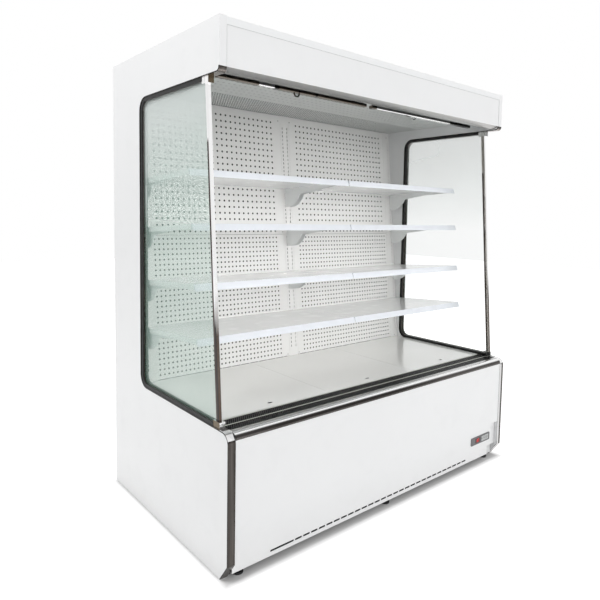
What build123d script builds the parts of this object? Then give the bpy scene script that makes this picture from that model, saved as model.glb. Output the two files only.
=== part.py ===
from build123d import *
from math import cos, pi, radians, sin, tan
import os

# Open multideck display fridge with end glass, four shelf levels and two night blinds.
#
# Frame: X runs along the width, -Y faces the customer, +Z is up.
# The origin is on the floor, under the middle of the cabinet.  Units are millimetres.

os.makedirs("parts", exist_ok=True)

# --------------------------------------------------------------------------------------
# Driving dimensions
# --------------------------------------------------------------------------------------

# Overall cabinet
cabinet_width = 1800.0
cabinet_depth = 1050.0
cabinet_height = 2030.0

# Fits and small gaps
slip_gap = 0.3          # between pieces that are laid side by side
glass_gap = 0.3         # each side of a pane in its channel
shaft_gap = 0.05        # radial, for shafts that turn in plain holes
key_gap = 0.3           # round each key in its bezel
deck_gap = 1.5          # round each lift-out deck panel

# End panels and the bright edge trim that wraps them
end_panel_foam = 30.0
panel_floor_gap = 6.0
base_height = 566.0
shoulder_radius = 40.0
toe_depth = 50.0
toe_height = 69.0
canopy_setback = 77.0
canopy_height = 193.0
canopy_corner_radius = 18.0
window_rear_width = 307.0
window_radius = 55.0
trim_web = 1.5
trim_lip = 1.0
trim_lip_depth = 4.0
corner_cap_drop = 25.0
corner_cap_run = 45.0

# End glass
glass_thickness = 6.0
glass_seat = 8.0
gasket_depth = 14.0
gasket_width = 26.0
glass_top_setback = 172.0
glass_foot_setback = 77.5
edge_strip_width = 12.0
edge_strip_depth = 19.0
edge_strip_slot = 13.0
clip_width = 24.0
clip_height = 24.0
clip_length = 46.0
clip_overlap = 16.0

# Canopy
fascia_rise = 20.0
fascia_depth = 22.0
fascia_end_gap = 1.5
sheet = 1.2
roof_thickness = 30.0
roof_drop = 3.0
canopy_lip_gauge = 2.5
canopy_lip_depth = 46.0
canopy_lip_drop = 12.0
tray_depth = 105.0
ceiling_depth = 133.0
ceiling_front_setback = 263.0
ceiling_flange = 12.0

# Insulated body
rear_foam = 45.0
rear_inset = 2.0
tank_depth = 236.0
tank_floor_foam = 40.0
tank_front_setback = 27.0
tank_front_foam = 45.0

# Rear duct panels and slotted uprights
duct_foot_depth = 289.0
wall_tilt = 5.5
upright_width = 60.0
upright_depth = 25.0
upright_gauge = 1.5
slot_pitch = 21.7
slot_height = 12.0
slot_width = 4.0
slot_column_offset = 15.5
slot_rows = 57
first_slot_height = 52.6
panel_split_height = 677.0
panel_fold = 14.0
standoff_width = 40.0
standoff_height = 30.0

# Shelves
shelf_levels = 4
shelf_steps = (10, 11, 10)
slots_below_shelf_count = 9
shelf_blind_gap = 36.0
shelf_front_fold = 22.0
shelf_gauge = 1.2
shelf_fall = 1.9
shelf_side_gap = 3.0
shelf_wall_gap = 8.0
ticket_rail_height = 28.0
ticket_rail_foot = 13.0
ticket_rail_head = 5.0
bracket_gauge = 2.5
bracket_tip_gap = 50.0
bracket_gusset_height = 98.0
bracket_gusset_foot = 40.0
bracket_arm_root = 130.0
bracket_arm_height = 36.0
bracket_tip_height = 9.0
bracket_gusset_sagitta = 14.0
hook_depth = 6.0
hook_drop = 5.0
hook_rows = (0, 3)

# Deck, return-air grille and nose
deck_panels = 3
deck_gauge = 1.5
deck_fold = 20.0
deck_front_setback = 148.0
finger_slot_length = 25.0
finger_slot_width = 13.0
finger_slot_inset = 46.0
deck_rail_size = 28.0
grille_thickness = 12.0
grille_front_setback = 38.0
grille_rear_gap = 4.0
grille_cell_pitch = 86.0
grille_cell_bar = 5.0
grille_divider = 8.0
grille_margin = 6.0
nose_radius = 24.0
nose_gauge = 2.0
nose_drop = 27.0

# Front and kick panels
front_panel_inset = 2.0
front_panel_height = 328.0
front_panel_gap = 1.0
kick_recess = 20.0
kick_depth = 18.0
kick_bottom = 30.0
kick_notch_height = 48.0
kick_notch_width = 68.0
kick_slot_height = 8.0
kick_slot_length = 35.0
kick_slot_ease = 2.4
kick_slot_pitch = 42.0
kick_slot_count = 28
kick_slot_first = -555.0
kick_slot_level = 50.0
kick_long_slot_length = 117.0
kick_long_slot_centre = -637.0
kick_groove_length = 44.0
kick_groove_height = 4.0
kick_groove_depth = 0.6
kick_groove_offset = 23.0
kick_groove_level = 68.0

# Controller on the kick panel
bezel_length = 176.0
bezel_height = 43.0
bezel_end_setback = 171.0
bezel_level = 135.0
bezel_proud = 3.0
bezel_depth = 24.0
display_length = 50.0
display_height = 27.0
display_offset = -26.0
keypad_offset = 42.0
key_length = 31.0
key_height = 12.0
key_column_pitch = 34.0
key_row_pitch = 15.0
key_travel = 0.5
key_proud = 1.0
key_depth = 6.0

# Base frame and feet
frame_tube = 40.0
frame_bottom = 20.0
foot_radius = 22.0
foot_pad_height = 8.0
foot_stem_radius = 6.0
foot_inset = 50.0
cross_member_offset = 270.0
unit_tray_gauge = 2.0

# Refrigeration
compressor_radius = 88.0
compressor_headroom = 63.0
compressor_x = 420.0
compressor_rear_gap = 187.0
condenser_length = 420.0
condenser_headroom = 28.0
condenser_depth = 70.0
condenser_x = -300.0
condenser_front_gap = 130.0
fan_rim = 8.0
fan_hub_radius = 34.0
fan_width = 36.0
fan_blades = 5
fan_hub_sides = 10
fan_strut = 12.0
evaporator_end_gap = 179.0
evaporator_height = 140.0
evaporator_depth = 230.0
evaporator_rear_gap = 63.0
duct_fan_radius = 74.0
duct_fan_hub_radius = 24.0
duct_fan_offset = 420.0
duct_fan_gap = 115.0
fan_tip_gap = 5.0
motor_shaft_radius = 4.0
gland_radius = 11.0
vent_length = 150.0
vent_height = 10.0

# Night blinds
blind_inner_x = 20.0
blind_end_gap = 51.0
blind_setback = 235.0
cassette_radius = 24.0
cassette_wall = 2.5
cassette_flats = 16
cassette_rise = 1.0
cassette_mouth = 20.0
cassette_cap = 12.0
roller_radius = 20.0
roller_shaft_radius = 5.0
bar_depth = 24.0
bar_height = 14.0
cloth_gauge = 0.8
cloth_margin = 4.0
handle_radius = 16.0
handle_gauge = 5.0
handle_right_x = 335.0
handle_left_x = -430.0

# --------------------------------------------------------------------------------------
# Lines and levels worked out from the driving dimensions
# --------------------------------------------------------------------------------------

half_width = cabinet_width / 2
front_y = -cabinet_depth / 2
back_y = cabinet_depth / 2
end_wall = end_panel_foam + 2 * trim_lip
liner_x = half_width - trim_lip - end_panel_foam
clear_x = half_width - end_wall
glass_x = half_width - end_wall / 2
canopy_front = front_y + canopy_setback
window_back = back_y - window_rear_width
rear_skin = back_y - rear_inset
rear_liner = rear_skin - rear_foam
roof_bottom = cabinet_height - roof_thickness
canopy_underside = cabinet_height - canopy_height
fascia_bottom = canopy_underside + fascia_rise
tray_height = cabinet_height - tray_depth
ceiling_height = cabinet_height - ceiling_depth
tank_front = front_y + tank_front_setback
tank_floor_height = base_height - tank_depth
tank_floor_top = tank_floor_height + tank_floor_foam
wall_foot = back_y - duct_foot_depth
tilt = radians(wall_tilt)
deck_front = front_y + deck_front_setback
frame_front = front_y + kick_recess + kick_depth
frame_back = rear_skin - rear_foam / 2
frame_top = frame_bottom + frame_tube
unit_floor = frame_top + unit_tray_gauge
compressor_height = tank_floor_height - unit_floor - compressor_headroom
condenser_height = tank_floor_height - unit_floor - condenser_headroom
fan_radius = condenser_height / 2 - fan_rim
toe_top = panel_floor_gap + toe_height
deck_rail_top = base_height - deck_fold
blind_y = front_y + blind_setback
blind_outer_x = clear_x - blind_end_gap
cassette_level = ceiling_height + cassette_rise
bar_level = fascia_bottom
shelf_depth = wall_foot - blind_y - shelf_blind_gap
bracket_reach = shelf_depth - bracket_tip_gap
bezel_centre = half_width - bezel_end_setback
compressor_y = back_y - compressor_rear_gap - compressor_radius
condenser_y = front_y + condenser_front_gap + condenser_depth / 2
evaporator_length = 2 * (liner_x - evaporator_end_gap)
evaporator_y = rear_liner - evaporator_rear_gap - evaporator_depth / 2
duct_fan_y = evaporator_y - evaporator_depth / 2 - duct_fan_gap


def wall_y(height: float) -> float:
    """Return the Y of the tilted rear panels' face at a height above the floor."""
    return wall_foot + (height - base_height) * tan(tilt)


def glass_front(height: float) -> float:
    """Return the Y of the raked front edge of the end glass at a height."""
    rake = (glass_top_setback - glass_foot_setback) / (canopy_underside - base_height)
    return front_y + glass_foot_setback + rake * (height - base_height)


wall_plane = Plane(
    origin=(0, wall_foot, base_height),
    x_dir=(1, 0, 0),
    z_dir=(0, -cos(tilt), sin(tilt)),
)
wall_length = (ceiling_height - base_height) / cos(tilt)


def save(piece: BuildPart, name: str) -> None:
    """Label a finished piece and write it to its own STEP file."""
    piece.part.label = name
    export_step(piece.part, f"parts/{name}.step")


def end_face(inset: float) -> Sketch:
    """Draw the end panel's C-shaped side view, trimmed edges moved in by inset."""
    slant = (toe_height**2 + toe_depth**2) ** 0.5
    toe_y = front_y + toe_depth + inset * slant / toe_height
    toe_z = toe_top + inset * (slant - toe_height) / toe_depth
    with BuildSketch() as face:
        Polygon(
            (toe_y, panel_floor_gap),
            (back_y, panel_floor_gap),
            (back_y, cabinet_height),
            (canopy_front, cabinet_height),
            (canopy_front, fascia_bottom),
            (canopy_front + inset, fascia_bottom),
            (canopy_front + inset, canopy_underside + inset),
            (window_back + inset, canopy_underside + inset),
            (window_back + inset, base_height - inset),
            (front_y + inset, base_height - inset),
            (front_y + inset, toe_z),
            align=None,
        )
        shoulder = (front_y + inset, base_height - inset)
        canopy_corner = (canopy_front + inset, canopy_underside + inset)
        window_corners = (
            (window_back + inset, canopy_underside + inset),
            (window_back + inset, base_height - inset),
        )
        fillet(face.vertices().sort_by_distance(shoulder)[0], shoulder_radius - inset)
        fillet(face.vertices().sort_by_distance(canopy_corner)[0], canopy_corner_radius - inset)
        for corner in window_corners:
            fillet(face.vertices().sort_by_distance(corner)[0], window_radius + inset)
    return face.sketch


def window_face(inset: float) -> Sketch:
    """Draw the side window's outline, moved in by inset at its top, rear and foot."""
    top = canopy_underside - inset
    foot = base_height + inset
    rear = window_back - inset
    with BuildSketch() as face:
        Polygon((glass_front(foot), foot), (rear, foot), (rear, top), (glass_front(top), top), align=None)
        rear_corners = face.vertices().group_by(Axis.X)[-1]
        fillet(rear_corners, window_radius - inset)
    return face.sketch


def edge_band(depth: float) -> Sketch:
    """Draw the strip of the end panel's side view that lies within depth of its trimmed edges."""
    with BuildSketch() as band:
        add(end_face(0))
        add(end_face(depth), mode=Mode.SUBTRACT)
    return band.sketch


# --------------------------------------------------------------------------------------
# End panels, edge trim and corner caps
# --------------------------------------------------------------------------------------

for side, sign in (("left", -1), ("right", 1)):
    panel_x = sign * (half_width - trim_lip - end_panel_foam / 2)
    with BuildPart() as side_panel:
        with BuildSketch(Plane.YZ.offset(panel_x)):
            add(end_face(trim_web))
        extrude(amount=end_panel_foam / 2, both=True)
    save(side_panel, f"side_panel_{side}")

cap_rear = front_y + corner_cap_run
cap_bottom = base_height - corner_cap_drop

with BuildSketch() as cap_zone:
    Polygon(
        (front_y, cap_bottom),
        (cap_rear, cap_bottom),
        (cap_rear, base_height),
        (front_y, base_height),
        align=None,
    )

with BuildPart() as edge_trims:
    with BuildSketch(Plane.YZ.offset(clear_x)):
        add(edge_band(trim_web))
        add(cap_zone.sketch_local, mode=Mode.SUBTRACT)
    extrude(amount=end_wall)
    with BuildSketch(Plane.YZ.offset(clear_x)):
        add(edge_band(trim_lip_depth))
        add(cap_zone.sketch_local, mode=Mode.SUBTRACT)
    extrude(amount=trim_lip)
    with BuildSketch(Plane.YZ.offset(half_width - trim_lip)):
        add(edge_band(trim_lip_depth))
        add(cap_zone.sketch_local, mode=Mode.SUBTRACT)
    extrude(amount=trim_lip)
    mirror(about=Plane.YZ)
save(edge_trims, "edge_trims")

with BuildPart() as corner_caps:
    with BuildSketch(Plane.YZ.offset(clear_x)):
        add(edge_band(trim_web))
        add(cap_zone.sketch_local, mode=Mode.INTERSECT)
    extrude(amount=end_wall)
    for lip_start in (clear_x, half_width - trim_lip):
        with BuildSketch(Plane.YZ.offset(lip_start)):
            add(edge_band(trim_lip_depth))
            add(cap_zone.sketch_local, mode=Mode.INTERSECT)
        extrude(amount=trim_lip)
    mirror(about=Plane.YZ)
save(corner_caps, "corner_caps")

# --------------------------------------------------------------------------------------
# End glass, its gasket, the raked edge strip and the four clips
# --------------------------------------------------------------------------------------

clip_top_y = glass_front(canopy_underside - clip_height / 2)
clip_foot_y = glass_front(base_height + clip_height / 2)
clip_lead = (clip_length - edge_strip_depth) / 2
strip_foot = base_height + clip_height - clip_overlap
strip_top = canopy_underside - clip_height + clip_overlap

with BuildSketch() as clip_outlines:
    Polygon(
        (clip_top_y - clip_lead, canopy_underside - clip_height),
        (clip_top_y - clip_lead + clip_length, canopy_underside - clip_height),
        (clip_top_y - clip_lead + clip_length, canopy_underside),
        (clip_top_y - clip_lead, canopy_underside),
        align=None,
    )
    Polygon(
        (clip_foot_y - clip_lead, base_height),
        (clip_foot_y - clip_lead + clip_length, base_height),
        (clip_foot_y - clip_lead + clip_length, base_height + clip_height),
        (clip_foot_y - clip_lead, base_height + clip_height),
        align=None,
    )

with BuildSketch() as strip_outline:
    Polygon(
        (glass_front(strip_foot), strip_foot),
        (glass_front(strip_foot) + edge_strip_depth, strip_foot),
        (glass_front(strip_top) + edge_strip_depth, strip_top),
        (glass_front(strip_top), strip_top),
        align=None,
    )

strip_web = edge_strip_depth - edge_strip_slot
with BuildSketch() as strip_slot:
    Polygon(
        (glass_front(strip_foot) + strip_web, strip_foot),
        (glass_front(strip_foot) + edge_strip_depth, strip_foot),
        (glass_front(strip_top) + edge_strip_depth, strip_top),
        (glass_front(strip_top) + strip_web, strip_top),
        align=None,
    )

with BuildPart() as side_glass:
    with BuildSketch(Plane.YZ.offset(glass_x)):
        add(window_face(gasket_depth - glass_seat))
        Polygon(
            (front_y, base_height),
            (glass_front(base_height) + strip_web + glass_gap, base_height),
            (glass_front(canopy_underside) + strip_web + glass_gap, canopy_underside),
            (front_y, canopy_underside),
            align=None,
            mode=Mode.SUBTRACT,
        )
        add(clip_outlines.sketch_local, mode=Mode.SUBTRACT)
    extrude(amount=glass_thickness / 2, both=True)
    mirror(about=Plane.YZ)
save(side_glass, "side_glass")

with BuildPart() as window_gaskets:
    with BuildSketch(Plane.YZ.offset(glass_x)):
        add(window_face(0))
        add(window_face(gasket_depth), mode=Mode.SUBTRACT)
        add(clip_outlines.sketch_local, mode=Mode.SUBTRACT)
    extrude(amount=gasket_width / 2, both=True)
    with BuildSketch(Plane.YZ.offset(glass_x)):
        add(window_face(gasket_depth - glass_seat))
    extrude(amount=glass_thickness / 2 + glass_gap, both=True, mode=Mode.SUBTRACT)
    mirror(about=Plane.YZ)
save(window_gaskets, "window_gaskets")

with BuildPart() as glass_edge_strips:
    with BuildSketch(Plane.YZ.offset(glass_x)):
        add(strip_outline.sketch_local)
    extrude(amount=edge_strip_width / 2, both=True)
    with BuildSketch(Plane.YZ.offset(glass_x)):
        add(strip_slot.sketch_local)
    extrude(amount=glass_thickness / 2 + glass_gap, both=True, mode=Mode.SUBTRACT)
    mirror(about=Plane.YZ)
save(glass_edge_strips, "glass_edge_strips")

with BuildPart() as glass_clips:
    with BuildSketch(Plane.YZ.offset(glass_x)):
        add(clip_outlines.sketch_local)
    extrude(amount=clip_width / 2, both=True)
    with BuildSketch(Plane.YZ.offset(glass_x)):
        add(strip_outline.sketch_local)
    extrude(amount=edge_strip_width / 2 + slip_gap, both=True, mode=Mode.SUBTRACT)
    with BuildSketch(Plane.YZ.offset(glass_x)):
        add(window_face(gasket_depth - glass_seat))
    extrude(amount=glass_thickness / 2 + glass_gap, both=True, mode=Mode.SUBTRACT)
    mirror(about=Plane.YZ)
save(glass_clips, "glass_clips")

# --------------------------------------------------------------------------------------
# Insulated body: rear wall, tank and roof
# --------------------------------------------------------------------------------------

with BuildPart() as insulated_back:
    with BuildSketch(Plane.YZ.offset(-liner_x)):
        Polygon(
            (rear_liner, tank_floor_height),
            (rear_skin, tank_floor_height),
            (rear_skin, roof_bottom),
            (rear_liner, roof_bottom),
            align=None,
        )
    extrude(amount=2 * liner_x)
save(insulated_back, "insulated_back")

tank_rim = base_height - grille_thickness
with BuildPart() as insulated_tank:
    with BuildSketch(Plane.YZ.offset(-liner_x)):
        Polygon(
            (tank_front, tank_floor_height),
            (rear_liner, tank_floor_height),
            (rear_liner, tank_floor_top),
            (tank_front + tank_front_foam, tank_floor_top),
            (tank_front + tank_front_foam, tank_rim),
            (tank_front, tank_rim),
            align=None,
        )
    extrude(amount=2 * liner_x)
save(insulated_tank, "insulated_tank")

with BuildPart() as roof_panel:
    with BuildSketch(Plane.YZ.offset(-liner_x)):
        Polygon(
            (canopy_front, roof_bottom),
            (rear_skin, roof_bottom),
            (rear_skin, cabinet_height - roof_drop),
            (canopy_front, cabinet_height - roof_drop),
            align=None,
        )
    extrude(amount=2 * liner_x)
save(roof_panel, "roof_panel")

# --------------------------------------------------------------------------------------
# Canopy: fascia, rounded lip, tray and ceiling
# --------------------------------------------------------------------------------------

fascia_face = canopy_front + 1.0
fascia_rear = fascia_face + fascia_depth
fascia_top = roof_bottom - slip_gap
with BuildPart() as canopy_fascia:
    with BuildSketch(Plane.YZ.offset(-liner_x + fascia_end_gap)):
        Polygon(
            (fascia_face, fascia_bottom),
            (fascia_rear, fascia_bottom),
            (fascia_rear, fascia_bottom + sheet),
            (fascia_face + sheet, fascia_bottom + sheet),
            (fascia_face + sheet, fascia_top - sheet),
            (fascia_rear, fascia_top - sheet),
            (fascia_rear, fascia_top),
            (fascia_face, fascia_top),
            align=None,
        )
    extrude(amount=2 * (liner_x - fascia_end_gap))
save(canopy_fascia, "canopy_fascia")

lip_rear = fascia_face + canopy_lip_depth
lip_bottom = fascia_bottom - canopy_lip_drop
with BuildPart() as canopy_lip:
    with BuildSketch(Plane.YZ.offset(-clear_x + slip_gap)):
        with BuildLine():
            outer = ThreePointArc(
                (fascia_face, fascia_bottom),
                (fascia_face + canopy_lip_depth / 2 - 8, lip_bottom + 3),
                (lip_rear, lip_bottom),
            )
            Polyline(
                outer @ 1,
                (lip_rear, tray_height),
                (lip_rear - canopy_lip_gauge, tray_height),
                (lip_rear - canopy_lip_gauge, fascia_bottom),
                outer @ 0,
            )
        make_face()
    extrude(amount=2 * (clear_x - slip_gap))
save(canopy_lip, "canopy_lip")

ceiling_front = front_y + ceiling_front_setback
with BuildPart() as canopy_tray:
    with BuildSketch(Plane.YZ.offset(-liner_x)):
        Polygon(
            (fascia_face + sheet, tray_height),
            (ceiling_front + ceiling_flange, tray_height),
            (ceiling_front + ceiling_flange, tray_height + sheet),
            (fascia_face + sheet, tray_height + sheet),
            align=None,
        )
    extrude(amount=2 * liner_x)
save(canopy_tray, "canopy_tray")

with BuildPart() as ceiling_panel:
    with BuildSketch(Plane.YZ.offset(-liner_x + slip_gap)):
        Polygon(
            (ceiling_front, ceiling_height),
            (rear_liner, ceiling_height),
            (rear_liner, ceiling_height + ceiling_flange),
            (rear_liner - sheet, ceiling_height + ceiling_flange),
            (rear_liner - sheet, ceiling_height + sheet),
            (ceiling_front + sheet, ceiling_height + sheet),
            (ceiling_front + sheet, tray_height),
            (ceiling_front, tray_height),
            align=None,
        )
    extrude(amount=2 * (liner_x - slip_gap))
save(ceiling_panel, "ceiling_panel")

# --------------------------------------------------------------------------------------
# Slotted uprights, their standoffs and the rear duct panels
# --------------------------------------------------------------------------------------

side_column = clear_x - slot_column_offset
upright_centres = (-(liner_x - upright_width / 2), 0.0, liner_x - upright_width / 2)
slot_columns = (-side_column, -slot_column_offset, slot_column_offset, side_column)
upright_foot = (deck_rail_top - base_height) / cos(tilt) + upright_depth * tan(tilt)
upright_top = wall_length - slip_gap
slot_levels = [first_slot_height + row * slot_pitch for row in range(slot_rows)]

with BuildPart() as uprights:
    for centre in upright_centres:
        with BuildSketch(wall_plane.offset(-upright_gauge)):
            with Locations((centre, upright_foot)):
                Rectangle(upright_width, upright_top - upright_foot, align=(Align.CENTER, Align.MIN))
        extrude(amount=upright_gauge)
        for edge in (-1, 1):
            with BuildSketch(wall_plane.offset(-upright_depth)):
                with Locations((centre + edge * (upright_width - upright_gauge) / 2, upright_foot)):
                    Rectangle(upright_gauge, upright_top - upright_foot, align=(Align.CENTER, Align.MIN))
            extrude(amount=upright_depth)
    with BuildSketch(wall_plane):
        with Locations([(column, level) for column in slot_columns for level in slot_levels]):
            Rectangle(slot_width, slot_height)
    extrude(amount=-upright_gauge, mode=Mode.SUBTRACT)
save(uprights, "uprights")

standoff_levels = (base_height + 200.0, (base_height + ceiling_height) / 2, ceiling_height - 150.0)
channel_back = upright_depth / cos(tilt)
with BuildPart() as upright_standoffs:
    for centre in upright_centres:
        with BuildSketch(Plane.YZ.offset(centre)):
            for level in standoff_levels:
                Polygon(
                    (wall_y(level) + channel_back, level),
                    (rear_liner, level),
                    (rear_liner, level + standoff_height),
                    (wall_y(level + standoff_height) + channel_back, level + standoff_height),
                    align=None,
                )
        extrude(amount=standoff_width / 2, both=True)
save(upright_standoffs, "upright_standoffs")

bay_inner = upright_width / 2 + slip_gap
bay_outer = liner_x - upright_width - slip_gap
bay_width = bay_outer - bay_inner
bay_centre = (bay_outer + bay_inner) / 2
panel_foot = (deck_rail_top - base_height) / cos(tilt) + panel_fold * tan(tilt)

for name, low, high in (
    ("lower_back_panels", panel_foot, panel_split_height - slip_gap),
    ("upper_back_panels", panel_split_height, upright_top),
):
    with BuildPart() as back_panels:
        for sign in (-1, 1):
            with BuildSketch(wall_plane.offset(-panel_fold)):
                with Locations((sign * bay_centre, low)):
                    Rectangle(bay_width, high - low, align=(Align.CENTER, Align.MIN))
            extrude(amount=panel_fold)
            with BuildSketch(wall_plane.offset(-panel_fold)):
                with Locations((sign * bay_centre, low + sheet)):
                    Rectangle(
                        bay_width - 2 * sheet,
                        high - low - 2 * sheet,
                        align=(Align.CENTER, Align.MIN),
                    )
            extrude(amount=panel_fold - sheet, mode=Mode.SUBTRACT)
    save(back_panels, name)

# --------------------------------------------------------------------------------------
# Shelf brackets that hook into the uprights
# --------------------------------------------------------------------------------------

shelf_slots = [slots_below_shelf_count]
for steps in shelf_steps:
    shelf_slots.append(shelf_slots[-1] + steps)
fall = tan(radians(shelf_fall))
hook_thickness = slot_height / 2 - slip_gap


def bracket_outline(slot_row: int) -> Sketch:
    """Draw one bracket's side view; local x runs out of the wall, local y up the wall."""
    crown = slot_levels[slot_row] + slot_height / 2
    foot = crown - bracket_gusset_height
    tip = crown - bracket_reach * fall
    with BuildSketch() as outline:
        with BuildLine():
            Polyline(
                (bracket_gusset_foot, foot),
                (0, foot),
                (0, crown),
                (bracket_reach, tip),
                (bracket_reach, tip - bracket_tip_height),
                (bracket_arm_root, crown - bracket_arm_root * fall - bracket_arm_height),
            )
            SagittaArc(
                (bracket_arm_root, crown - bracket_arm_root * fall - bracket_arm_height),
                (bracket_gusset_foot, foot),
                bracket_gusset_sagitta,
            )
        make_face()
        for hook_row in hook_rows:
            level = slot_levels[slot_row - hook_row]
            Polygon(
                (0, level - slot_height / 2 + slip_gap),
                (0, level + hook_thickness),
                (-upright_gauge - hook_depth, level + hook_thickness),
                (-upright_gauge - hook_depth, level - slot_height / 2 - hook_drop),
                (-upright_gauge - slip_gap, level - slot_height / 2 - hook_drop),
                (-upright_gauge - slip_gap, level - slot_height / 2 + slip_gap),
                align=None,
            )
    return outline.sketch


def bracket_plane(column: float) -> Plane:
    """Return the plane of a bracket: x out of the wall, y up the wall, z along -X."""
    return Plane(
        origin=(column, wall_foot, base_height),
        x_dir=(0, -cos(tilt), sin(tilt)),
        z_dir=(-1, 0, 0),
    )


with BuildPart() as shelf_brackets:
    for column in slot_columns:
        with BuildSketch(bracket_plane(column)):
            for slot_row in shelf_slots:
                add(bracket_outline(slot_row))
        extrude(amount=bracket_gauge / 2, both=True)
save(shelf_brackets, "shelf_brackets")

# --------------------------------------------------------------------------------------
# Shelf trays, four levels in two bays, and their ticket rails
# --------------------------------------------------------------------------------------

shelf_inner = shelf_side_gap
shelf_outer = clear_x - shelf_side_gap
shelf_width = shelf_outer - shelf_inner
shelf_centre = (shelf_outer + shelf_inner) / 2


def shelf_plane(slot_row: int) -> Plane:
    """Return a shelf's plane: origin on the wall, x along the shelf, y towards the wall."""
    rise = slot_levels[slot_row] + slot_height / 2
    seat = wall_plane.from_local_coords((0, rise, 0))
    slope = radians(wall_tilt - shelf_fall)
    return Plane(origin=seat, x_dir=(1, 0, 0), z_dir=(0, sin(slope), cos(slope)))


for level, slot_row in enumerate(shelf_slots):
    seat = shelf_plane(slot_row)
    with BuildPart() as shelf_pair:
        for sign in (-1, 1):
            with BuildSketch(seat.offset(shelf_gauge - shelf_front_fold)):
                with Locations((sign * shelf_centre, -shelf_wall_gap)):
                    Rectangle(shelf_width, shelf_depth - shelf_wall_gap, align=(Align.CENTER, Align.MAX))
            extrude(amount=shelf_front_fold)
            with BuildSketch(seat.offset(shelf_gauge - shelf_front_fold)):
                with Locations((sign * shelf_centre, 0)):
                    Rectangle(
                        shelf_width - 2 * shelf_gauge,
                        shelf_depth - shelf_gauge,
                        align=(Align.CENTER, Align.MAX),
                    )
            extrude(amount=shelf_front_fold - shelf_gauge, mode=Mode.SUBTRACT)
    save(shelf_pair, f"shelf_level_{shelf_levels - level}")

with BuildPart() as ticket_rails:
    for slot_row in shelf_slots:
        seat = shelf_plane(slot_row)
        for sign in (-1, 1):
            rail_start = sign * shelf_centre - shelf_width / 2
            rail_plane = Plane(origin=seat.from_local_coords((rail_start, -shelf_depth, shelf_gauge)),
                               x_dir=seat.y_dir, z_dir=(1, 0, 0))
            with BuildSketch(rail_plane):
                Polygon(
                    (0, 0),
                    (-ticket_rail_head, 0),
                    (-ticket_rail_foot, -ticket_rail_height),
                    (-ticket_rail_foot + sheet, -ticket_rail_height),
                    (-ticket_rail_head, -2 * sheet),
                    (-2 * sheet, -2 * sheet),
                    (-2 * sheet, -shelf_front_fold),
                    (0, -shelf_front_fold),
                    align=None,
                )
            extrude(amount=shelf_width)
save(ticket_rails, "ticket_rails")

# --------------------------------------------------------------------------------------
# Deck rails, lift-out deck panels, return-air grille and nose
# --------------------------------------------------------------------------------------

rail_front_y = deck_front + deck_rail_size
rail_rear_y = wall_foot - deck_rail_size
with BuildPart() as deck_rails:
    for rail_y in (rail_front_y, rail_rear_y):
        with BuildSketch(Plane.YZ.offset(-liner_x)):
            with Locations((rail_y, deck_rail_top)):
                Rectangle(deck_rail_size, deck_rail_size, align=(Align.CENTER, Align.MAX))
            with Locations((rail_y, deck_rail_top - sheet)):
                Rectangle(
                    deck_rail_size - 2 * sheet,
                    deck_rail_size - sheet,
                    align=(Align.CENTER, Align.MAX),
                    mode=Mode.SUBTRACT,
                )
        extrude(amount=2 * liner_x)
    with BuildSketch(Plane.XY.offset(deck_rail_top - 2 * sheet)):
        for centre in upright_centres:
            with Locations((centre, rail_rear_y + deck_rail_size / 2)):
                Rectangle(upright_width, 2 * deck_rail_size, align=(Align.CENTER, Align.MIN))
    extrude(amount=2 * sheet)
save(deck_rails, "deck_rails")

deck_rear = wall_foot - deck_gap - 2 * sheet
deck_pitch = 2 * clear_x / deck_panels
for number in range(1, deck_panels + 1):
    centre = -clear_x + (number - 0.5) * deck_pitch
    with BuildPart() as deck_panel:
        with BuildSketch(Plane.XY.offset(deck_rail_top)):
            with Locations((centre, deck_front)):
                Rectangle(deck_pitch - deck_gap, deck_rear - deck_front, align=(Align.CENTER, Align.MIN))
        extrude(amount=deck_fold)
        with BuildSketch(Plane.XY.offset(deck_rail_top)):
            with Locations((centre, deck_front + deck_gauge)):
                Rectangle(
                    deck_pitch - deck_gap - 2 * deck_gauge,
                    deck_rear - deck_front - 2 * deck_gauge,
                    align=(Align.CENTER, Align.MIN),
                )
        extrude(amount=deck_fold - deck_gauge, mode=Mode.SUBTRACT)
        with BuildSketch(Plane.XY.offset(base_height)):
            with Locations((centre, deck_front + finger_slot_inset)):
                SlotOverall(finger_slot_length, finger_slot_width)
        extrude(amount=-2 * deck_gauge, mode=Mode.SUBTRACT)
    save(deck_panel, f"deck_panel_{number}")

grille_front = front_y + grille_front_setback
grille_rear = deck_front - grille_rear_gap
cell_depth = (grille_rear - grille_front - 2 * grille_margin - grille_divider) / 2
cell_rows = (
    grille_front + grille_margin + cell_depth / 2,
    grille_rear - grille_margin - cell_depth / 2,
)
cell_count = int((2 * clear_x - 2 * grille_margin) / grille_cell_pitch)
with BuildPart() as return_air_grille:
    with BuildSketch(Plane.XY.offset(base_height - grille_thickness)):
        with Locations((0, grille_front)):
            Rectangle(2 * (clear_x - slip_gap), grille_rear - grille_front, align=(Align.CENTER, Align.MIN))
        for row_y in cell_rows:
            with Locations((0, row_y)):
                with GridLocations(grille_cell_pitch, 0, cell_count, 1):
                    Rectangle(grille_cell_pitch - grille_cell_bar, cell_depth, mode=Mode.SUBTRACT)
    extrude(amount=grille_thickness)
save(return_air_grille, "return_air_grille")

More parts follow.
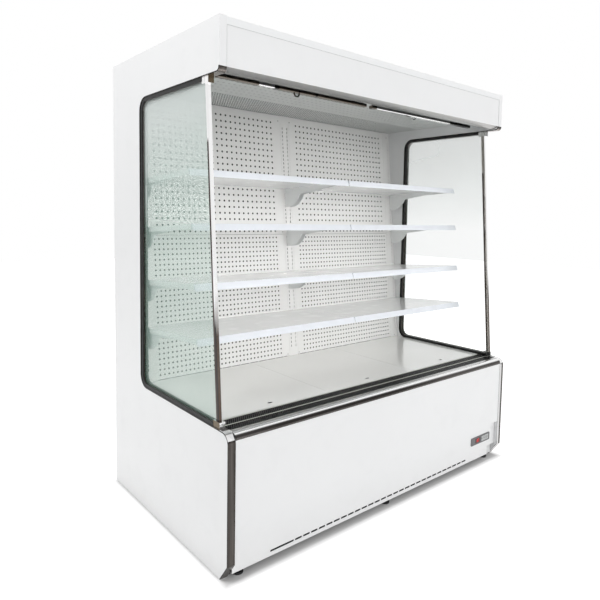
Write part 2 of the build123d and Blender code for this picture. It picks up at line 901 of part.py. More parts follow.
nose_back = grille_front - slip_gap
nose_foot = base_height - nose_drop
with BuildPart() as nose_bumper:
    with BuildSketch(Plane.YZ.offset(-liner_x + trim_lip)):
        with BuildLine():
            nose_top = Line((nose_back, base_height), (front_y + nose_radius, base_height))
            outer_bend = RadiusArc(
                nose_top @ 1, (front_y, base_height - nose_radius), -nose_radius
            )
            Polyline(
                outer_bend @ 1,
                (front_y, nose_foot),
                (front_y + nose_gauge, nose_foot),
                (front_y + nose_gauge, base_height - nose_radius),
            )
            inner_bend = RadiusArc(
                (front_y + nose_gauge, base_height - nose_radius),
                (front_y + nose_radius, base_height - nose_gauge),
                nose_radius - nose_gauge,
            )
            Polyline(
                inner_bend @ 1,
                (nose_back - nose_gauge, base_height - nose_gauge),
                (nose_back - nose_gauge, tank_rim),
                (nose_back, tank_rim),
                nose_top @ 0,
            )
        make_face()
    extrude(amount=2 * (liner_x - trim_lip))
save(nose_bumper, "nose_bumper")

# --------------------------------------------------------------------------------------
# Front panel and slotted kick panel
# --------------------------------------------------------------------------------------

front_panel_top = base_height - nose_drop - front_panel_gap
front_panel_bottom = front_panel_top - front_panel_height
front_panel_face = front_y + front_panel_inset
front_panel_back = tank_front
with BuildPart() as front_panel:
    with BuildSketch(Plane.YZ.offset(-clear_x + slip_gap)):
        Polygon(
            (front_panel_face, front_panel_bottom),
            (front_panel_back, front_panel_bottom),
            (front_panel_back, front_panel_bottom + sheet),
            (front_panel_face + sheet, front_panel_bottom + sheet),
            (front_panel_face + sheet, front_panel_top - sheet),
            (front_panel_back, front_panel_top - sheet),
            (front_panel_back, front_panel_top),
            (front_panel_face, front_panel_top),
            align=None,
        )
    extrude(amount=2 * (clear_x - slip_gap))
save(front_panel, "front_panel")

kick_face = front_y + kick_recess
kick_top = front_panel_bottom - front_panel_gap
kick_notch_top = kick_bottom + kick_notch_height
kick_half = clear_x - slip_gap

def slot_corners(length: float) -> list[tuple[float, float]]:
    """Return the corners of an air slot of a given length, each corner cut at 45 degrees."""
    half = length / 2
    rise = kick_slot_height / 2
    ease = kick_slot_ease
    upper = [(half, rise - ease), (half - ease, rise), (ease - half, rise), (-half, rise - ease)]
    return upper + [(-x, -z) for x, z in upper]


with BuildPart() as kick_panel:
    with BuildSketch(Plane.XZ.offset(-kick_face)):
        Polygon(
            (-kick_half, kick_bottom),
            (kick_half - kick_notch_width, kick_bottom),
            (kick_half - kick_notch_width, kick_notch_top),
            (kick_half, kick_notch_top),
            (kick_half, kick_top),
            (-kick_half, kick_top),
            align=None,
        )
        for slot in range(kick_slot_count):
            with Locations((kick_slot_first + slot * kick_slot_pitch, kick_slot_level)):
                Polygon(*slot_corners(kick_slot_length), align=None, mode=Mode.SUBTRACT)
        with Locations((kick_long_slot_centre, kick_slot_level)):
            Polygon(*slot_corners(kick_long_slot_length), align=None, mode=Mode.SUBTRACT)
        with Locations((bezel_centre, bezel_level)):
            Rectangle(
                bezel_length - 4 * bezel_proud,
                bezel_height - 4 * bezel_proud,
                mode=Mode.SUBTRACT,
            )
    extrude(amount=-sheet)
    with BuildSketch(Plane.XZ.offset(-kick_face)):
        with Locations((bezel_centre + kick_groove_offset, kick_groove_level)):
            Rectangle(kick_groove_length, kick_groove_height)
    extrude(amount=-kick_groove_depth, mode=Mode.SUBTRACT)
    for fold_z in (kick_bottom, kick_top - sheet):
        fold_length = 2 * kick_half - (kick_notch_width if fold_z == kick_bottom else 0)
        with BuildSketch(Plane.XY.offset(fold_z)):
            with Locations((-kick_half, kick_face)):
                Rectangle(fold_length, kick_depth, align=(Align.MIN, Align.MIN))
        extrude(amount=sheet)
save(kick_panel, "kick_panel")

# --------------------------------------------------------------------------------------
# Controller: bezel, display lens and four keys
# --------------------------------------------------------------------------------------

bezel_face = kick_face - bezel_proud
display_x = bezel_centre + display_offset
keypad_x = bezel_centre + keypad_offset
key_names = ("set_key", "up_key", "defrost_key", "down_key")
key_places = [
    (keypad_x + column * key_column_pitch / 2, bezel_level + row * key_row_pitch / 2)
    for row in (1, -1)
    for column in (-1, 1)
]

with BuildPart() as controller_bezel:
    with BuildSketch(Plane.XZ.offset(-bezel_face)):
        with Locations((bezel_centre, bezel_level)):
            RectangleRounded(bezel_length, bezel_height, 2 * bezel_proud)
    extrude(amount=-bezel_proud)
    with BuildSketch(Plane.XZ.offset(-kick_face)):
        with Locations((bezel_centre, bezel_level)):
            Rectangle(
                bezel_length - 4 * bezel_proud - 2 * slip_gap,
                bezel_height - 4 * bezel_proud - 2 * slip_gap,
            )
    extrude(amount=-bezel_depth)
    with BuildSketch(Plane.XZ.offset(-bezel_face)):
        with Locations((display_x, bezel_level)):
            Rectangle(display_length + 2 * slip_gap, display_height + 2 * slip_gap)
    extrude(amount=-bezel_proud, mode=Mode.SUBTRACT)
    with BuildSketch(Plane.XZ.offset(-bezel_face)):
        with Locations(key_places):
            Rectangle(key_length + 2 * key_gap, key_height + 2 * key_gap)
    extrude(amount=-(key_depth + key_travel), mode=Mode.SUBTRACT)
save(controller_bezel, "controller_bezel")

with BuildPart() as controller_display:
    with BuildSketch(Plane.XZ.offset(-bezel_face)):
        with Locations((display_x, bezel_level)):
            Rectangle(display_length, display_height)
    extrude(amount=-bezel_proud)
save(controller_display, "controller_display")

for key_name, key_place in zip(key_names, key_places):
    with BuildPart() as key:
        with BuildSketch(Plane.XZ.offset(-bezel_face + key_proud)):
            with Locations(key_place):
                Rectangle(key_length, key_height)
        extrude(amount=-(key_depth + key_proud))
    save(key, key_name)

# --------------------------------------------------------------------------------------
# Base frame, levelling feet and rear cover
# --------------------------------------------------------------------------------------

frame_depth = frame_back - frame_front
frame_y = (frame_back + frame_front) / 2
frame_half = clear_x - slip_gap
with BuildPart() as base_frame:
    with BuildSketch(Plane.XY.offset(frame_bottom)):
        with Locations((0, frame_y)):
            Rectangle(2 * frame_half, frame_depth)
            Rectangle(2 * (frame_half - frame_tube), frame_depth - 2 * frame_tube, mode=Mode.SUBTRACT)
        with Locations((-cross_member_offset, frame_y), (cross_member_offset, frame_y)):
            Rectangle(frame_tube, frame_depth)
    extrude(amount=frame_tube)
    with BuildSketch(Plane.XY.offset(frame_top)):
        for post_x in (-frame_half + frame_tube / 2, 0, frame_half - frame_tube / 2):
            with Locations((post_x, frame_back - frame_tube / 2)):
                Rectangle(frame_tube, frame_tube)
        for post_x in (-frame_half + frame_tube / 2, frame_half - frame_tube / 2):
            with Locations((post_x, frame_front + frame_tube / 2)):
                Rectangle(frame_tube, frame_tube)
    extrude(amount=tank_floor_height - frame_top)
    with BuildSketch(Plane.XY.offset(frame_top)):
        with Locations((0, frame_y)):
            Rectangle(4 * cross_member_offset, frame_depth - frame_tube)
    extrude(amount=unit_tray_gauge)
save(base_frame, "base_frame")

foot_x = liner_x - foot_inset
foot_rows = (frame_front + frame_tube / 2, frame_back - frame_tube / 2)
with BuildPart() as levelling_feet:
    for foot_y in foot_rows:
        foot_places = ((-foot_x, foot_y), (0, foot_y), (foot_x, foot_y))
        with BuildSketch():
            with Locations(foot_places):
                RegularPolygon(foot_radius, 16)
        extrude(amount=foot_pad_height)
        with BuildSketch(Plane.XY.offset(foot_pad_height)):
            with Locations(foot_places):
                RegularPolygon(foot_stem_radius, 6)
        extrude(amount=frame_bottom - foot_pad_height)
save(levelling_feet, "levelling_feet")

rear_cover_bottom = frame_bottom
gland_x = liner_x - 3 * frame_tube
gland_z = frame_top + frame_tube
with BuildPart() as rear_cover:
    with BuildSketch(Plane.XZ.offset(-frame_back)):
        with Locations((0, rear_cover_bottom)):
            Rectangle(
                2 * (liner_x - slip_gap),
                tank_floor_height - rear_cover_bottom - slip_gap,
                align=(Align.CENTER, Align.MIN),
            )
        with Locations((0, (frame_top + tank_floor_height) / 2)):
            with GridLocations(vent_length + 2 * vent_height, 5 * vent_height, 8, 2):
                Rectangle(vent_length, vent_height, mode=Mode.SUBTRACT)
        with Locations((gland_x, gland_z)):
            Circle(gland_radius, mode=Mode.SUBTRACT)
    extrude(amount=-sheet)
save(rear_cover, "rear_cover")

with BuildPart() as mains_gland:
    with BuildSketch(Plane.XZ.offset(-frame_back - sheet)):
        with Locations((gland_x, gland_z)):
            RegularPolygon(gland_radius + 3 * sheet, 6)
    extrude(amount=-gland_radius)
    with BuildSketch(Plane.XZ.offset(-frame_back - 2 * gland_radius)):
        with Locations((gland_x, gland_z)):
            Circle(gland_radius / 2)
    extrude(amount=4 * gland_radius, mode=Mode.SUBTRACT)
save(mains_gland, "mains_gland")

# --------------------------------------------------------------------------------------
# Refrigeration unit under the tank
# --------------------------------------------------------------------------------------

can_plinth = 6.0
can_shoulder = 0.75 * compressor_height
with BuildPart() as compressor:
    with BuildSketch(Plane.XY.offset(unit_floor)):
        with Locations((compressor_x, compressor_y)):
            Rectangle(2.2 * compressor_radius, 1.6 * compressor_radius)
    extrude(amount=can_plinth)
    with BuildSketch(Plane.XZ.offset(-compressor_y)):
        with BuildLine():
            Polyline(
                (compressor_x, unit_floor + can_plinth),
                (compressor_x + compressor_radius, unit_floor + can_plinth),
                (compressor_x + compressor_radius, unit_floor + can_shoulder),
                (compressor_x + 0.84 * compressor_radius, unit_floor + 0.92 * compressor_height),
                (compressor_x + 0.45 * compressor_radius, unit_floor + compressor_height),
                (compressor_x, unit_floor + compressor_height),
                close=True,
            )
        make_face()
    revolve(axis=Axis((compressor_x, compressor_y, 0), (0, 0, 1)))
save(compressor, "compressor")

fin_pitch = 30.0
fin_gauge = 4.0
header_height = 8.0


def fin_pack(length: float, height: float, pitch: float) -> Sketch:
    """Draw a finned block's front view: a header strip with upright fins, foot at the origin."""
    with BuildSketch() as fins:
        Rectangle(length, header_height, align=(Align.CENTER, Align.MIN))
        with GridLocations(pitch, 0, int(length / pitch) + 1, 1):
            Rectangle(fin_gauge, height, align=(Align.CENTER, Align.MIN))
    return fins.sketch


with BuildPart() as condenser_coil:
    with BuildSketch(Plane.XZ.offset(-condenser_y)):
        with Locations((condenser_x, unit_floor)):
            add(fin_pack(condenser_length - fin_gauge, condenser_height, fin_pitch))
    extrude(amount=condenser_depth / 2, both=True)
save(condenser_coil, "condenser_coil")


def fan_rotor(radius: float, hub_radius: float, width: float, blades: int) -> Part:
    """Build an axial fan rotor on the Z axis, centred on the origin, with a bored hub."""
    with BuildPart() as rotor:
        with BuildSketch(Plane.XY.offset(-width / 2)):
            RegularPolygon(hub_radius, fan_hub_sides)
        extrude(amount=width)
        blade_chord = 1.6 * hub_radius
        for index in range(blades):
            turn = 360.0 / blades * index
            blade_plane = Plane(
                origin=(0, 0, 0),
                x_dir=(cos(radians(turn)), sin(radians(turn)), 0),
                z_dir=(
                    -sin(radians(turn)) * sin(radians(30)),
                    cos(radians(turn)) * sin(radians(30)),
                    cos(radians(30)),
                ),
            )
            with BuildSketch(blade_plane):
                Polygon(
                    (hub_radius * 0.8, -0.35 * blade_chord),
                    (radius * 0.92, -0.55 * blade_chord),
                    (radius * 0.98, 0),
                    (radius * 0.88, 0.6 * blade_chord),
                    (hub_radius * 0.8, 0.35 * blade_chord),
                    align=None,
                )
            extrude(amount=0.8, both=True)
        Cylinder(motor_shaft_radius + shaft_gap, 2 * width, mode=Mode.SUBTRACT)
    return rotor.part


shroud_y = condenser_y + condenser_depth / 2
fan_z = unit_floor + condenser_height / 2
fan_plane_y = shroud_y + fan_width
with BuildPart() as condenser_fan:
    with Locations(Location((condenser_x, fan_plane_y, fan_z), (90, 0, 0))):
        add(fan_rotor(fan_radius, fan_hub_radius, fan_width, fan_blades))
save(condenser_fan, "condenser_fan")

with BuildPart() as condenser_shroud:
    with BuildSketch(Plane.XZ.offset(-shroud_y)):
        with Locations((condenser_x, fan_z)):
            Rectangle(condenser_length, condenser_height)
            Circle(fan_radius + fan_tip_gap, mode=Mode.SUBTRACT)
    extrude(amount=-2 * fan_width)
    with BuildSketch(Plane.XZ.offset(-(shroud_y + 2 * fan_width))):
        with Locations((condenser_x, fan_z)):
            RegularPolygon(fan_hub_radius, fan_hub_sides)
            Rectangle(2 * (fan_radius + 2 * fan_tip_gap), fan_strut)
            Rectangle(fan_strut, condenser_height)
    extrude(amount=-fan_width)
    with BuildSketch(Plane.XZ.offset(-(fan_plane_y - fan_width / 2))):
        with Locations((condenser_x, fan_z)):
            Circle(motor_shaft_radius)
    extrude(amount=-2 * fan_width)
save(condenser_shroud, "condenser_shroud")

pan_length = 260.0
pan_depth = 180.0
pan_height = 45.0
pan_x = compressor_x + 0.0
pan_y = -120.0
with BuildPart() as condensate_pan:
    with Locations((pan_x, pan_y, unit_floor)):
        Box(pan_length, pan_depth, pan_height, align=(Align.CENTER, Align.CENTER, Align.MIN))
        with Locations((0, 0, 2)):
            Box(
                pan_length - 4,
                pan_depth - 4,
                pan_height,
                align=(Align.CENTER, Align.CENTER, Align.MIN),
                mode=Mode.SUBTRACT,
            )
save(condensate_pan, "condensate_pan")

# --------------------------------------------------------------------------------------
# Evaporator and duct fans in the tank
# --------------------------------------------------------------------------------------

with BuildPart() as evaporator_coil:
    with BuildSketch(Plane.XZ.offset(-evaporator_y)):
        with Locations((0, tank_floor_top)):
            add(fin_pack(evaporator_length - fin_gauge, evaporator_height, 2 * fin_pitch))
    extrude(amount=evaporator_depth / 2, both=True)
save(evaporator_coil, "evaporator_coil")

duct_fan_z = (tank_floor_top + deck_rail_top) / 2
duct_fan_width = 26.0
plate_y = duct_fan_y
with BuildPart() as evaporator_fan_plate:
    with BuildSketch(Plane.XZ.offset(-plate_y)):
        with Locations((0, duct_fan_z)):
            Rectangle(2 * liner_x, deck_rail_top - tank_floor_top)
        with Locations((-duct_fan_offset, duct_fan_z), (duct_fan_offset, duct_fan_z)):
            Circle(duct_fan_radius + fan_tip_gap, mode=Mode.SUBTRACT)
    extrude(amount=sheet, both=True)
    for centre in (-duct_fan_offset, duct_fan_offset):
        with BuildSketch(Plane.XZ.offset(-(plate_y - 2 * duct_fan_width))):
            with Locations((centre, duct_fan_z)):
                RegularPolygon(duct_fan_hub_radius, fan_hub_sides)
                Rectangle(fan_strut, 2 * (duct_fan_radius + 2 * fan_tip_gap))
        extrude(amount=-duct_fan_width)
        for arm in (-1, 1):
            with BuildSketch(Plane.XZ.offset(-(plate_y - 2 * duct_fan_width))):
                with Locations((centre, duct_fan_z + arm * (duct_fan_radius + fan_tip_gap))):
                    Rectangle(fan_strut, 2 * fan_tip_gap)
            extrude(amount=-2 * duct_fan_width)
        with BuildSketch(Plane.XZ.offset(-(plate_y - 2 * duct_fan_width))):
            with Locations((centre, duct_fan_z)):
                Circle(motor_shaft_radius)
        extrude(amount=-(2 * duct_fan_width + duct_fan_width / 2))
save(evaporator_fan_plate, "evaporator_fan_plate")

for side, sign in (("left", -1), ("right", 1)):
    with BuildPart() as duct_fan:
        with Locations(Location((sign * duct_fan_offset, plate_y, duct_fan_z), (90, 0, 0))):
            add(fan_rotor(duct_fan_radius, duct_fan_hub_radius, duct_fan_width, fan_blades))
    save(duct_fan, f"evaporator_fan_{side}")

# --------------------------------------------------------------------------------------
# Night blinds: cassette, roller, cloth and pull bar with its handle
# --------------------------------------------------------------------------------------

blind_length = blind_outer_x - blind_inner_x
cassette_y = blind_y - roller_radius
cassette_length = blind_length + 2 * cassette_cap
bar_top = bar_level + bar_height
handle_places = {"left": handle_left_x, "right": handle_right_x}

with BuildPart() as blind_cassettes:
    with BuildSketch(Plane.YZ.offset(blind_inner_x - cassette_cap)):
        with Locations((cassette_y, cassette_level)):
            RegularPolygon(cassette_radius, cassette_flats)
            Rectangle(
                2 * cassette_radius / 3,
                tray_height - cassette_level,
                align=(Align.CENTER, Align.MIN),
            )
    extrude(amount=cassette_length)
    with BuildSketch(Plane.YZ.offset(blind_inner_x)):
        with Locations((cassette_y, cassette_level)):
            RegularPolygon(cassette_radius - cassette_wall, cassette_flats)
        with Locations((blind_y, cassette_level)):
            Rectangle(cassette_mouth, cassette_radius, align=(Align.CENTER, Align.MAX))
    extrude(amount=blind_length, mode=Mode.SUBTRACT)
    with BuildSketch(Plane.YZ.offset(blind_inner_x - cassette_cap)):
        with Locations((cassette_y, cassette_level)):
            Circle(roller_shaft_radius + shaft_gap)
    extrude(amount=cassette_length, mode=Mode.SUBTRACT)
    mirror(about=Plane.YZ)
save(blind_cassettes, "blind_cassettes")

for side, sign in (("left", -1), ("right", 1)):
    start = blind_inner_x if sign > 0 else -blind_outer_x
    with BuildPart() as blind_roller:
        with BuildSketch(Plane.YZ.offset(start + slip_gap)):
            with Locations((cassette_y, cassette_level)):
                RegularPolygon(roller_radius - cloth_gauge - slip_gap, cassette_flats)
        extrude(amount=blind_length - 2 * slip_gap)
        with BuildSketch(Plane.YZ.offset(start - cassette_cap)):
            with Locations((cassette_y, cassette_level)):
                Circle(roller_shaft_radius)
        extrude(amount=cassette_length)
    save(blind_roller, f"blind_roller_{side}")

    with BuildPart() as blind_cloth:
        with BuildSketch(Plane.YZ.offset(start + cloth_margin)):
            with Locations((blind_y, bar_top)):
                Rectangle(cloth_gauge, cassette_level - bar_top, align=(Align.CENTER, Align.MIN))
        extrude(amount=blind_length - 2 * cloth_margin)
    save(blind_cloth, f"blind_cloth_{side}")

    with BuildPart() as pull_bar:
        with BuildSketch(Plane.YZ.offset(start)) as bar_section:
            with Locations((blind_y, bar_level + bar_height / 2)):
                Rectangle(bar_depth, bar_height)
                chamfer(bar_section.vertices(), bar_height / 5)
        extrude(amount=blind_length)
        with BuildSketch(Plane.XZ.offset(-blind_y)):
            with Locations((handle_places[side], bar_level + slip_gap)):
                Circle(handle_radius)
                Circle(handle_radius - handle_gauge, mode=Mode.SUBTRACT)
                Rectangle(
                    2 * handle_radius,
                    handle_radius,
                    align=(Align.CENTER, Align.MIN),
                    mode=Mode.SUBTRACT,
                )
        extrude(amount=handle_gauge / 2, both=True)
    save(pull_bar, f"pull_bar_{side}")
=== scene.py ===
import logging
from dataclasses import dataclass, replace
from enum import Enum
from functools import cached_property
from math import cos, pi, radians, sin, sqrt
from typing import Any, Callable, Iterable, Sequence

import bpy
import numpy as np
from mathutils import Matrix, Vector


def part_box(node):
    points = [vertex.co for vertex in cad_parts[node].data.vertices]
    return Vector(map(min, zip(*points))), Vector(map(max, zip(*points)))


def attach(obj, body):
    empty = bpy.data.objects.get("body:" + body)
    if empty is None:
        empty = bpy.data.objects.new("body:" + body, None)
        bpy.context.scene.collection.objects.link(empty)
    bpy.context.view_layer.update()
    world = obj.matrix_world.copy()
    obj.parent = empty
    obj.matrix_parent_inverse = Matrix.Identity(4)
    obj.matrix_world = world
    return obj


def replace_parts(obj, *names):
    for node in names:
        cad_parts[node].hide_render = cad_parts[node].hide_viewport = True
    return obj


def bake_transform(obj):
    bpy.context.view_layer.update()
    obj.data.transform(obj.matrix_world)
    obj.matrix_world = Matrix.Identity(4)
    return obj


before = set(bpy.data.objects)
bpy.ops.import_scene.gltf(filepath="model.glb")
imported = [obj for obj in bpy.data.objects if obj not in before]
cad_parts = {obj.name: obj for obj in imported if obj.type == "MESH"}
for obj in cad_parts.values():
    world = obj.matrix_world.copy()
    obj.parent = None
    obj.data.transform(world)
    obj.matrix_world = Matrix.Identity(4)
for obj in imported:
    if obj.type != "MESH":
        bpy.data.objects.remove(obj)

log = logging.getLogger("multideck")

Colour = tuple[float, float, float]
Point = tuple[float, float, float]
Pair = tuple[float, float]
Numbers = tuple[float, ...]
Inputs = dict[str, Any]
Shape = tuple[np.ndarray, list]


# --- Shader arithmetic ---


def operator(operation: str, swapped: bool = False) -> Callable[["Tap", "Tap | float"], "Tap"]:
    """Return a method of Tap that works out one Math operation with another value.

    Args:
        operation: Blender's name of the operation.
        swapped: whether the other value comes first.
    """

    def method(self: "Tap", other: "Tap | float") -> "Tap":
        """Return the result of the operation."""
        return self.math(operation, *((other, self) if swapped else (self, other)))

    return method


class Tap:
    """One shader socket that takes part in Python arithmetic.

    An expression on taps adds the Math nodes that work it out.
    """

    def __init__(self, recipe: "Recipe", socket: bpy.types.NodeSocket) -> None:
        """Remember the recipe that owns the socket."""
        self.recipe = recipe
        self.socket = socket

    def math(self, operation: str, *values: "Tap | float") -> "Tap":
        """Add one Math node.

        Args:
            operation: Blender's name of the operation.
            values: the numbers or taps that it works on, in order.

        Returns:
            The node's result.
        """
        sockets = dict(enumerate(values))
        return self.recipe.tap("ShaderNodeMath", sockets, settings={"operation": operation})

    __add__ = __radd__ = operator("ADD")
    __mul__ = __rmul__ = operator("MULTIPLY")
    __sub__ = operator("SUBTRACT")
    __rsub__ = operator("SUBTRACT", swapped=True)
    __truediv__ = operator("DIVIDE")
    least = operator("MINIMUM")
    most = operator("MAXIMUM")

    def __abs__(self) -> "Tap":
        """Return the size of self without its sign."""
        return self.math("ABSOLUTE", self)

    def sine(self) -> "Tap":
        """Return the sine of self, in radians."""
        return self.math("SINE", self)

    def above(self, edge: float, soft: float) -> "Tap":
        """Return 0 well below edge and 1 well above it, over a ramp soft wide."""
        return ((self - edge) / soft + 0.5).most(0.0).least(1.0)

    def below(self, edge: float, soft: float) -> "Tap":
        """Return 1 well below edge and 0 well above it, over a ramp soft wide."""
        return 1.0 - self.above(edge, soft)

    def within(self, low: float, high: float, soft: float) -> "Tap":
        """Return 1 between low and high and 0 outside, with ramps soft wide."""
        return self.above(low, soft) * self.below(high, soft)


class Recipe:
    """The node tree of one material or of the world."""

    def __init__(self, owner: bpy.types.Material | bpy.types.World) -> None:
        """Start an empty tree in its owner."""
        owner.use_nodes = True
        self.owner = owner
        self.tree = owner.node_tree
        self.tree.nodes.clear()

    def node(
        self, kind: str, sockets: dict | None = None, settings: dict | None = None
    ) -> bpy.types.Node:
        """Add one node.

        Args:
            kind: the node's type.
            sockets: a number, colour or tap for each input, by name or position.
            settings: its properties.

        Returns:
            The node.
        """
        node = self.tree.nodes.new(kind)
        for key, value in (settings or {}).items():
            setattr(node, key, value)
        for key, value in (sockets or {}).items():
            if isinstance(value, Tap):
                self.tree.links.new(value.socket, node.inputs[key])
            else:
                node.inputs[key].default_value = value
        return node

    def tap(
        self,
        kind: str,
        sockets: dict | None = None,
        output: int | str = 0,
        settings: dict | None = None,
    ) -> Tap:
        """Add one node as above and return one of its outputs."""
        return Tap(self, self.node(kind, sockets, settings).outputs[output])

    @cached_property
    def place(self) -> Tap:
        """The place in the object's coordinates, in metres."""
        return self.tap("ShaderNodeTexCoord", output="Object")

    def split(self, vector: Tap) -> tuple[Tap, Tap, Tap]:
        """Return the X, Y and Z of a vector."""
        node = self.node("ShaderNodeSeparateXYZ", {0: vector})
        return tuple(Tap(self, output) for output in node.outputs)

    def axes(self) -> tuple[Tap, Tap, Tap]:
        """Return the object's X, Y and Z in metres."""
        return self.split(self.place)

    def facing(self) -> tuple[Tap, Tap, Tap]:
        """Return the X, Y and Z of the surface's outward direction."""
        return self.split(self.tap("ShaderNodeNewGeometry", output="Normal"))

    def noise(self, scale: float, detail: float = 2.0, stretch: Point | None = None) -> Tap:
        """Return cloudy noise from 0 to 1.

        Args:
            scale: clouds per metre.
            detail: octaves of finer clouds.
            stretch: multiplies each axis first, so a small value draws streaks along it.
        """
        place = self.place
        if stretch:
            place = self.tap("ShaderNodeMapping", {"Vector": place, "Scale": stretch})
        return self.tap("ShaderNodeTexNoise", {"Vector": place, "Scale": scale, "Detail": detail})

    def grains(self, scale: float) -> Tap:
        """Return one random level from 0 to 1 for each irregular cell, scale cells per metre."""
        cells = self.tap("ShaderNodeTexVoronoi", {"Vector": self.place, "Scale": scale}, "Color")
        return self.tap("ShaderNodeSeparateColor", {0: cells})

    def blend(self, mask: Tap, low: Any, high: Any) -> Tap:
        """Return the colour low where mask is 0 and high where it is 1."""
        sockets = {0: mask, 6: opaque(low), 7: opaque(high)}
        return self.tap("ShaderNodeMix", sockets, 2, {"data_type": "RGBA", "clamp_factor": True})

    def shades(self, mask: Tap, colour: Colour, low: float, high: float) -> Tap:
        """Return the colour times low where mask is 0 and times high where it is 1."""
        return self.blend(mask, tinted(colour, low), tinted(colour, high))

    def layers(self, base: Any, *over: tuple[Tap, Any]) -> Any:
        """Return the colour base under others, each given as its mask and its colour."""
        for mask, colour in over:
            base = self.blend(mask, base, colour)
        return base

    def bump(self, height: Tap, depth: float) -> Tap:
        """Return the normal of a surface whose relief is height times depth, in metres."""
        return self.tap("ShaderNodeBump", {"Height": height, "Distance": depth, "Strength": 1.0})


def opaque(value: Any) -> Any:
    """Return a three-part colour with alpha 1, and any other value as it is."""
    return (*value, 1.0) if isinstance(value, tuple) and len(value) == 3 else value


def grey(level: float) -> Colour:
    """Return a neutral colour."""
    return (level, level, level)


def tinted(colour: Colour, factor: float) -> Colour:
    """Return a colour multiplied by a number."""
    return tuple(min(1.0, channel * factor) for channel in colour)


# --- Finishes ---


@dataclass(frozen=True)
class Coating:
    """A finish with its material's name and the material slot that it belongs to."""

    name: str
    slot: str

    def inputs(self, recipe: Recipe) -> Inputs:
        """Return the Principled shader's inputs by name, with _ for each space."""
        raise NotImplementedError

    def material(self) -> bpy.types.Material:
        """Return the node material."""
        recipe = Recipe(bpy.data.materials.new(self.name))
        inputs = self.inputs(recipe).items()
        named = {key.replace("_", " "): opaque(value) for key, value in inputs}
        recipe.node("ShaderNodeOutputMaterial", {0: recipe.tap("ShaderNodeBsdfPrincipled", named)})
        return recipe.owner


@dataclass(frozen=True)
class PowderCoat(Coating):
    """Powder-coated sheet: orange peel, slow waves in the sheet and faint handling marks.

    The toe is how dusty it is near the floor. A side in painted shade is given as an axis and a
    limit:
    what lies below the limit is painted near-black, as painted shade for the hollow that it faces.
    """

    colour: Colour
    roughness: float = 0.34
    coat: float = 0.25
    peel: float = 0.000025
    drift: float = 0.03
    toe: float = 0.0
    painted_shade_below: tuple[int, float] | None = None
    dust_colour: Colour = (0.42, 0.39, 0.35)

    def inputs(self, recipe: Recipe) -> Inputs:
        """Return the paint's inputs."""
        clouds = recipe.noise(2.1, 3.0)
        marks = recipe.noise(14.0, 4.0).above(0.62, 0.16)
        orange_peel, waves = recipe.noise(620.0, 1.0), recipe.noise(5.0, 1.0)
        paint = recipe.shades(clouds, self.colour, 1.0 - self.drift, 1.0 + self.drift)
        layers = [(marks * 0.05, tinted(self.colour, 0.75))]
        if self.toe:
            low = recipe.axes()[2].below(0.09, 0.16)
            dust = low * (0.35 + 0.65 * recipe.noise(30.0, 4.0))
            layers.append((dust * self.toe, self.dust_colour))
        # Painted shade: below the limit the sheet is painted near-black, standing for the shade in
        # the hollow behind it.
        if self.painted_shade_below:
            axis, limit = self.painted_shade_below
            layers.append((recipe.axes()[axis].below(limit, 0.002), grey(0.012)))
        return dict(
            Base_Color=recipe.layers(paint, *layers),
            Roughness=self.roughness + (clouds - 0.5) * 0.08 + marks * 0.07,
            Coat_Weight=self.coat,
            Coat_Roughness=0.12,
            Normal=recipe.bump(orange_peel * 0.5 + waves * 12.0, self.peel),
        )


@dataclass(frozen=True)
class PolishedTrim(Coating):
    """Bright rolled strip whose colour is a painted reflection of a dark room, in streaks along its
    length.

    The base class is plain. Each kind of strip adds where it has painted reflections of the lamps.
    """

    slot: str = "bright_trim"
    # The dark and bright colours of the painted reflection.
    dark: Colour = (0.034, 0.030, 0.027)
    bright: Colour = (0.092, 0.083, 0.077)
    share: float = 0.5
    run: Point = (40.0, 40.0, 1.6)
    hairlines: float = 22.0

    def tone(self, recipe: Recipe, streaks: Tap) -> Tap:
        """Return the strip's colour, which is its painted reflection.

        Args:
            recipe: the node tree.
            streaks: 1 in a bright streak and 0 between streaks.
        """
        return recipe.blend(streaks, self.dark, self.bright)

    def inputs(self, recipe: Recipe) -> Inputs:
        """Return the strip's inputs."""
        streaks = recipe.noise(1.0, 3.0, self.run).above(1.0 - self.share, 0.22)
        hairline = recipe.noise(1.0, 2.0, tuple(part * self.hairlines for part in self.run))
        scratches = recipe.noise(260.0, 3.0).above(0.66, 0.08)
        return dict(
            # The base colour is painted reflection: streaks of a dark room and, in the kinds below,
            # lamps.
            Base_Color=self.tone(recipe, streaks),
            Metallic=1.0,
            Roughness=0.12 + hairline * 0.10 + scratches * 0.12,
            Normal=recipe.bump(hairline, 0.00003),
        )


@dataclass(frozen=True)
class EdgeTrim(PolishedTrim):
    """Trim round an end panel in painted reflections: black lips, brown front, greyer underside,
    white highlight on the arris.

    A painted lamp reflection shows on the right trim, from lamp_x to the inner face and in front of
    lamp_y.
    """

    lip: float = 0.8995
    arris: float = 0.8962
    inner: float = 0.8840
    lamp_x: float = 0.80
    lamp_y: float = -0.46
    underside: Colour = (0.25, 0.225, 0.21)

    def tone(self, recipe: Recipe, streaks: Tap) -> Tap:
        """Return the painted reflection, by side and by facing."""
        across, along, _ = recipe.axes()
        outward, _, up = recipe.facing()
        width = abs(across)
        outside = abs(outward).above(0.7, 0.2) * width.above(self.inner, 0.001)
        lamp = across.within(self.lamp_x, self.inner, 0.004) * along.below(self.lamp_y, 0.01)
        # Painted reflections: a lamp patch, a greyer underside and a white arris highlight; the
        # outer lips are painted near-black.
        return recipe.layers(
            super().tone(recipe, streaks),
            (lamp, grey(0.52)),
            (up.below(-0.6, 0.3), self.underside),
            (up.above(0.7, 0.2) * width.above(self.arris, 0.001), grey(0.86)),
            (outside.most(width.above(self.lip, 0.0004)), grey(0.010)),
        )


